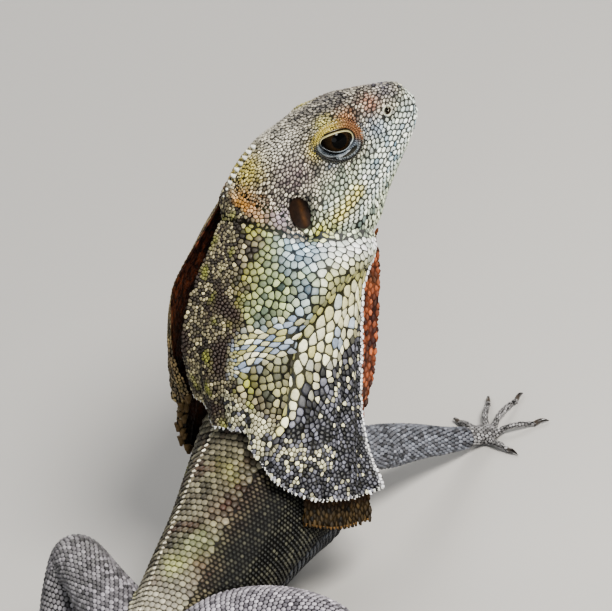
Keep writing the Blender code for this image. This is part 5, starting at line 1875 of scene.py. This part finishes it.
def spines_tree():
    """A soft horny spine on each point, leaning along its own direction."""
    wire, given, end = group_tree(
        "spines", (("Points", GEOMETRY, None), ("Length", FLOAT, 0.002), ("Width", FLOAT, 0.001),
                   ("Seed", "NodeSocketInt", 1), ("Material", MATERIAL, None)), (("Spines", GEOMETRY),),
        "GeometryNodeTree")
    cone = wire.add("GeometryNodeMeshCone", {"Vertices": 7, "Side Segments": 4, "Radius Top": 0.2,
                                             "Radius Bottom": 0.5, "Depth": 1.0}, fill_type="NGON")
    place = wire.add("GeometryNodeInputPosition", {}).outputs[0]
    height = wire.add("ShaderNodeSeparateXYZ", {0: place}).outputs["Z"]
    bend = wire.maths("MULTIPLY", wire.maths("MULTIPLY", height, height), 0.22)
    push = wire.add("ShaderNodeCombineXYZ", {"X": bend}).outputs[0]
    bowed = wire.add("GeometryNodeSetPosition", {"Geometry": cone.outputs[0], "Offset": push}).outputs[0]
    aim = wire.named("aim", "FLOAT_VECTOR")
    turn = wire.add("FunctionNodeAlignRotationToVector", {"Vector": aim}, axis="Z").outputs[0]
    chance = wire.add("FunctionNodeRandomValue", {2: 0.8, 3: 1.2, "Seed": given["Seed"]}, data_type="FLOAT")
    long = wire.maths("MULTIPLY", given["Length"], chance.outputs[1])
    size = wire.add("ShaderNodeCombineXYZ", {"X": given["Width"], "Y": given["Width"], "Z": long}).outputs[0]
    sized = wire.vector("SCALE", size, wire.named("size", "FLOAT"))
    put = wire.add("GeometryNodeInstanceOnPoints", {"Points": given["Points"], "Instance": bowed,
                                                    "Rotation": turn, "Scale": sized}).outputs[0]
    return wire.finish(put, given["Material"], end)


def spines(name, tree, points, aims, sizes, tints, length, width, seed, material):
    """A row of spines; sizes scales each one."""
    mesh = bpy.data.meshes.new(name)
    mesh.from_pydata(placed(points).tolist(), [], [])
    set_attribute(mesh, "aim", "FLOAT_VECTOR", "POINT", unit(aims))
    set_attribute(mesh, "size", "FLOAT", "POINT", sizes)
    set_attribute(mesh, "tint", "FLOAT_COLOR", "POINT", tints)
    thing = linked(name, mesh)
    with_nodes(thing, tree, Length=length * 0.001, Width=width * 0.001, Seed=seed, Material=material)
    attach(thing, "root")


def along_path(path, step):
    """Places every step along a line of points, with their share of the way."""
    far = steps_to(path)
    at = np.arange(step * 0.5, far[-1], step)
    return np.stack([np.interp(at, far, path[:, k]) for k in range(3)], axis=1), at / far[-1]


def keep_inside():
    """Presses whatever stands out of the solids' box, such as scales under a toe, flat against it."""
    low, high = (np.array(corner) for corner in frame_box)
    for thing in bpy.context.scene.objects:
        if thing.type == "MESH" and thing.name not in frame["nodes"] and thing.name != "floor":
            co = points_of(thing.data)
            set_points(thing.data, np.clip(co, low + BOX_SLACK, high - BOX_SLACK))


def sheet_beds(lobe, seed):
    """Both faces of a lobe, each with the places of its scales."""
    outer = lobe.face(1)
    inner = lobe.face(-1)
    if lobe.name == FOLD:
        gaps = (lambda u, v: np.full(len(u), 1.5), lambda u, v: np.full(len(u), 1.6))
    else:
        gaps = (outer_gap, lambda u, v: 1.7 + 0 * u)
    return (outer, lobe_bed(outer, gaps[0], 50 + seed, 5 if lobe.name == FOLD else 12),
            lobe_bed(inner, gaps[1], 60 + seed, 4))


def under_frill(bed, sheets):
    """The scales of the head that would lie under the foot of the frill."""
    hidden = np.zeros(len(bed.p), bool)
    for name in (RIGHT_LOBE, LEFT_LOBE):
        outer = sheets[name][0]
        spot, sheet_n, away, which = outer.nearest(bed.p)
        depth = dot(spot - bed.p, sheet_n)
        aside = np.sqrt(np.maximum(away ** 2 - depth ** 2, 0))
        at_root = outer.v[outer.tris[which]].mean(axis=1) < 0.16
        hidden |= (away < 2.2) & (depth > 0.42) & (aside < 0.5) & at_root
    return hidden


def lobe_group(lobe, bed, skin):
    """The scales on the outer face of a lobe, above the skin: places, normals, sizes and colours."""
    p, n = bed[:2]
    ground, up, _, _ = skin.nearest(p)
    above = dot(p - ground, up) > 0.0
    p, n, u, v, way, gap = (x[above] for x in bed)
    tall = stretch(u, v)
    turned = unit(np.cross(n, way)) * lobe.outward
    bend = beside_crease(u, v)[:, None]
    way = unit(way * (1 - bend) + (turned - 0.7 * way) * bend)
    tint = outer_tint(u, v, p)
    if lobe.name == LEFT_LOBE:
        rust = mixed(paint(156, 134, 92), paint(84, 68, 48), 0.5 + mottle(p, 4, 28))
        tint = mixed(tint, rust, np.full(len(p), 0.85))
    head = body_tint(p, np.full(len(p), "head"), np.zeros((len(p), 2)))
    return (p, n, way, gap * np.sqrt(tall), gap / np.sqrt(tall), np.interp(gap, [1.3, 3.3], [0.34, 0.46]),
            np.full(len(p), lobe.name), sheet_map(u, v), mixed(head, tint, v / 0.035))


def dress_outside(groups, plates, stuff):
    """All scales of the body and of the lobes' outer faces, fitted to each other. Returns their colours."""
    p, n, lie, long, wide, high, coat_of, uv, tint = (np.concatenate(x) for x in zip(*groups))
    lie = unit(lie - n * dot(lie, n)[:, None])
    tint = varied(tint, p, 0.16, 44)
    hood = neighbours(p, 14)
    rear = (coat_of == "tail") & (p[:, 1] < TAIL_SPLIT)
    for name, (corners, *relief) in RELIEF.items():
        parts = [(name, (coat_of == name) & ~rear)]
        if name == "tail":
            parts.append(("tail_rear", rear))
        for label, which in parts:
            chosen = np.nonzero(which)[0]
            lines = cell_outlines(p, n, lie, long, wide, hood, chosen, corners)
            material = stuff["frill" if name.startswith("frill") else "skin"]
            thing = coat("scales_" + label, lines, p[chosen], n[chosen], lie[chosen], high[chosen],
                         wide[chosen], tint[chosen], uv[chosen], plates, material, *relief)
    return tint


def dress_inside(lobe, bed, part, skin, plates, material):
    """The fine scales on a face that is turned inwards."""
    p, n, u, v, way, gap = bed
    if lobe.name != FOLD:
        ground, up, _, _ = skin.nearest(p)
        clear = dot(p - ground, up) > 0.4
        p, n, u, v, way, gap = (x[clear] for x in bed)
    way = unit(way - n * dot(way, n)[:, None])
    tints = varied(inner_tint(u, v, p), p, 0.2, 45)
    if lobe.name == LEFT_LOBE:
        tints = tints * 0.32
    if lobe.name == RIGHT_LOBE:
        tints = mixed(tints, paint(40, 28, 20), (0.3 - u) / 0.12)
    corners, *relief = INSIDE_RELIEF
    drawn = 1.5 if lobe.name == FOLD else 1.0
    lines = cell_outlines(p, n, way, gap * drawn, gap / drawn, neighbours(p, 12), np.arange(len(p)), corners)
    thing = coat("scales_" + lobe.name + "_" + part, lines, p, n, way, np.full(len(p), 0.22), gap, tints,
                 sheet_map(u, v), plates, material, *relief)


def dress_skin(thing, p, tint, material):
    """The skin under the scales, dark, with a little of the colour of the scale above."""
    tree = tree_of_points(p)
    mesh = thing.data
    co = points_of(mesh)
    nearest = np.array([tree.find(q)[1] for q in co.tolist()])
    set_attribute(mesh, "tint", "FLOAT_COLOR", "POINT", tint[nearest] * 0.08 + paint(30, 28, 26) * 0.35)
    set_points(mesh, placed(co))
    mesh.materials.clear()
    mesh.materials.append(material)
    mesh.shade_smooth()
    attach(thing, "root")
    flesh = [k for k in frame["nodes"] if not k.startswith(("eye", "frill"))]
    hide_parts(*flesh)


def dress_sheet(lobe, node, spine, material):
    """The sheet itself and the spines on its rim."""
    thing = lobe.solid()
    mesh = thing.data
    share = np.empty(len(mesh.vertices) * 3)
    mesh.attributes["share"].data.foreach_get("vector", share)
    u, v, face = share.reshape(-1, 3).T
    co = points_of(mesh)
    inner = inner_tint(u, v, co) * 0.5
    outer = inner if lobe.name == FOLD else outer_tint(u, v, co) * 0.08
    mesh.attributes.remove(mesh.attributes["share"])
    set_attribute(mesh, "tint", "FLOAT_COLOR", "POINT", np.where((face > 0)[:, None], outer, inner))
    set_points(mesh, placed(co))
    mesh.materials.append(material)
    mesh.shade_smooth()
    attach(thing, "root")
    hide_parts(node)
    step, colour, length, width = RIMS[lobe.name]
    rim, along = along_path(lobe.grid[-1], step)
    away = unit(lobe.grid[-1] - lobe.grid[-3])
    aims = np.stack([np.interp(along, np.linspace(0, 1, len(away)), away[:, k]) for k in range(3)], axis=1)
    sizes = np.random.default_rng(46).uniform(0.75, 1.15, len(rim))
    tints = varied(np.tile(paint(*colour), (len(rim), 1)), rim, 0.2, 47)
    spines("rim_" + lobe.name, spine, rim, aims, sizes, tints, length, width, 3, material)


def dress_ridge(forms, skin, spine, material):
    """The low crest from the neck to the tail, and a row of knobs on the nape."""
    trunk = forms["trunk"]
    back = np.concatenate([trunk[::-1, trunk.shape[1] // 4], forms["tail"][8:34, 8]])
    ridge, share = along_path(back, CREST_STEP)
    ground, up, away, _ = skin.nearest(ridge)
    bare = (away < 3) & ~in_head(ground)
    ground, up, share = ground[bare], up[bare], share[bare]
    aims = up + unit(np.gradient(ground, axis=0)) * 0.9
    sizes = np.interp(share, [0, 0.5, 0.8, 1], [1.0, 1.0, 0.6, 0.3])
    tints = varied(np.tile(paint(196, 190, 172), (len(ground), 1)), ground, 0.2, 48)
    spines("crest_back", spine, ground + up * 0.2, aims, sizes, tints, 1.5, 1.3, 4, material)
    knobs = np.array([tuple(skin.tree.ray_cast(Vector(on_head(0, ahead, 45)), Vector(-UP))[0])
                      for ahead in np.arange(4.0, -17.0, -2.3)])
    aims = np.tile(UP * 1.2 - FORWARD * 0.5, (len(knobs), 1))
    tints = varied(np.tile(paint(224, 224, 214), (len(knobs), 1)), knobs, 0.1, 49)
    spines("knobs_nape", spine, knobs + UP * 0.2, aims, np.ones(len(knobs)), tints, 1.7, 1.9, 5, material)


def main():
    set_camera()
    set_stage()
    hands = {name: hand_rings(*values) for name, values in HANDS.items()}
    forms = {"trunk": trunk_rings(), "head": head_rings(), "tail": tube_rings(curve(TAIL, 8), 32)}
    for name, rows in LIMBS.items():
        forms[name] = tube_rings(curve(rows, 6), 28, (0.35, 0.1, 1) if name == "leg_left" else (0, 0, 1))
    for name, (parts, _) in hands.items():
        forms[name] = parts
    whole = [forms[k] for k in ("trunk", "head", "tail", *LIMBS)]
    for name in HANDS:
        whole += forms[name]
    skin_thing = build_skin(whole, [values[1] for values in HANDS.values()])
    skin = Surface(skin_thing.data)
    grain = horn_grain_group()
    seam = seam_group()
    plates = raised_plates_tree()
    spine = spines_tree()
    stuff = {key: horn_material(name, grain, seam, **values) for key, name, values in FINISHES}
    bed = body_bed(skin, forms)

    lobes = (Lobe(RIGHT_LOBE, FRILL_RIGHT, 113, 73, skin, 1, 1.0, 2.9),
             Lobe(LEFT_LOBE, FRILL_LEFT, 89, 61, skin, -1, 1.0, 1.5),
             Lobe(FOLD, FRILL_FOLD, 25, 61, skin, 1, 0.3, 0.0, 0))
    sheets = {lobe.name: sheet_beds(lobe, seed) for seed, lobe in enumerate(lobes)}
    bed.p, n, _, _ = skin.nearest(bed.p)
    shown = ~under_frill(bed, sheets)
    bed.kept(shown)
    groups = [(bed.p, n[shown], bed.lie, bed.long, bed.wide, bed.high, bed.coat, bed.uv,
               body_tint(bed.p, bed.coat, bed.uv))]
    for sign in (1, -1):
        p, n, lie, tint = lid_scales(sign, skin)
        size = np.full(len(p), LID_SCALE)
        groups.append((p + n * 0.14, n, lie, size * 0.95, size, size * 0.5, np.full(len(p), "head"),
                       head_map(p), tint))
    for lobe in lobes[:2]:
        groups.append(lobe_group(lobe, sheets[lobe.name][1], skin))
    tint = dress_outside(groups, plates, stuff)
    for lobe in lobes:
        _, outer, inner = sheets[lobe.name]
        if lobe.name == FOLD:
            dress_inside(lobe, outer, "outer", skin, plates, stuff["inside"])
        dress_inside(lobe, inner, "inner", skin, plates, stuff["inside"])
    dress_skin(skin_thing, bed.p, tint, stuff["bare"])
    for lobe, node in zip(lobes, ("frill_right", "frill_left", "frill_fold")):
        dress_sheet(lobe, node, spine, stuff["bare"])
    dress_ridge(forms, skin, spine, stuff["bare"])
    cornea = eye_material()
    for sign in (1, -1):
        # The left eyeball shows the frame's own plain brown material, which has the name "eye" too
        eye(sign, cornea if sign > 0 else bpy.data.materials["eye"])
        lids(sign, skin, stuff["moist"])
        eardrum(sign, skin, stuff["drum"])
        nostril(sign, skin, stuff["moist"])
    for name, (_, ends) in hands.items():
        claws("claws_" + name, ends, stuff["claw"])

    keep_inside()


main()
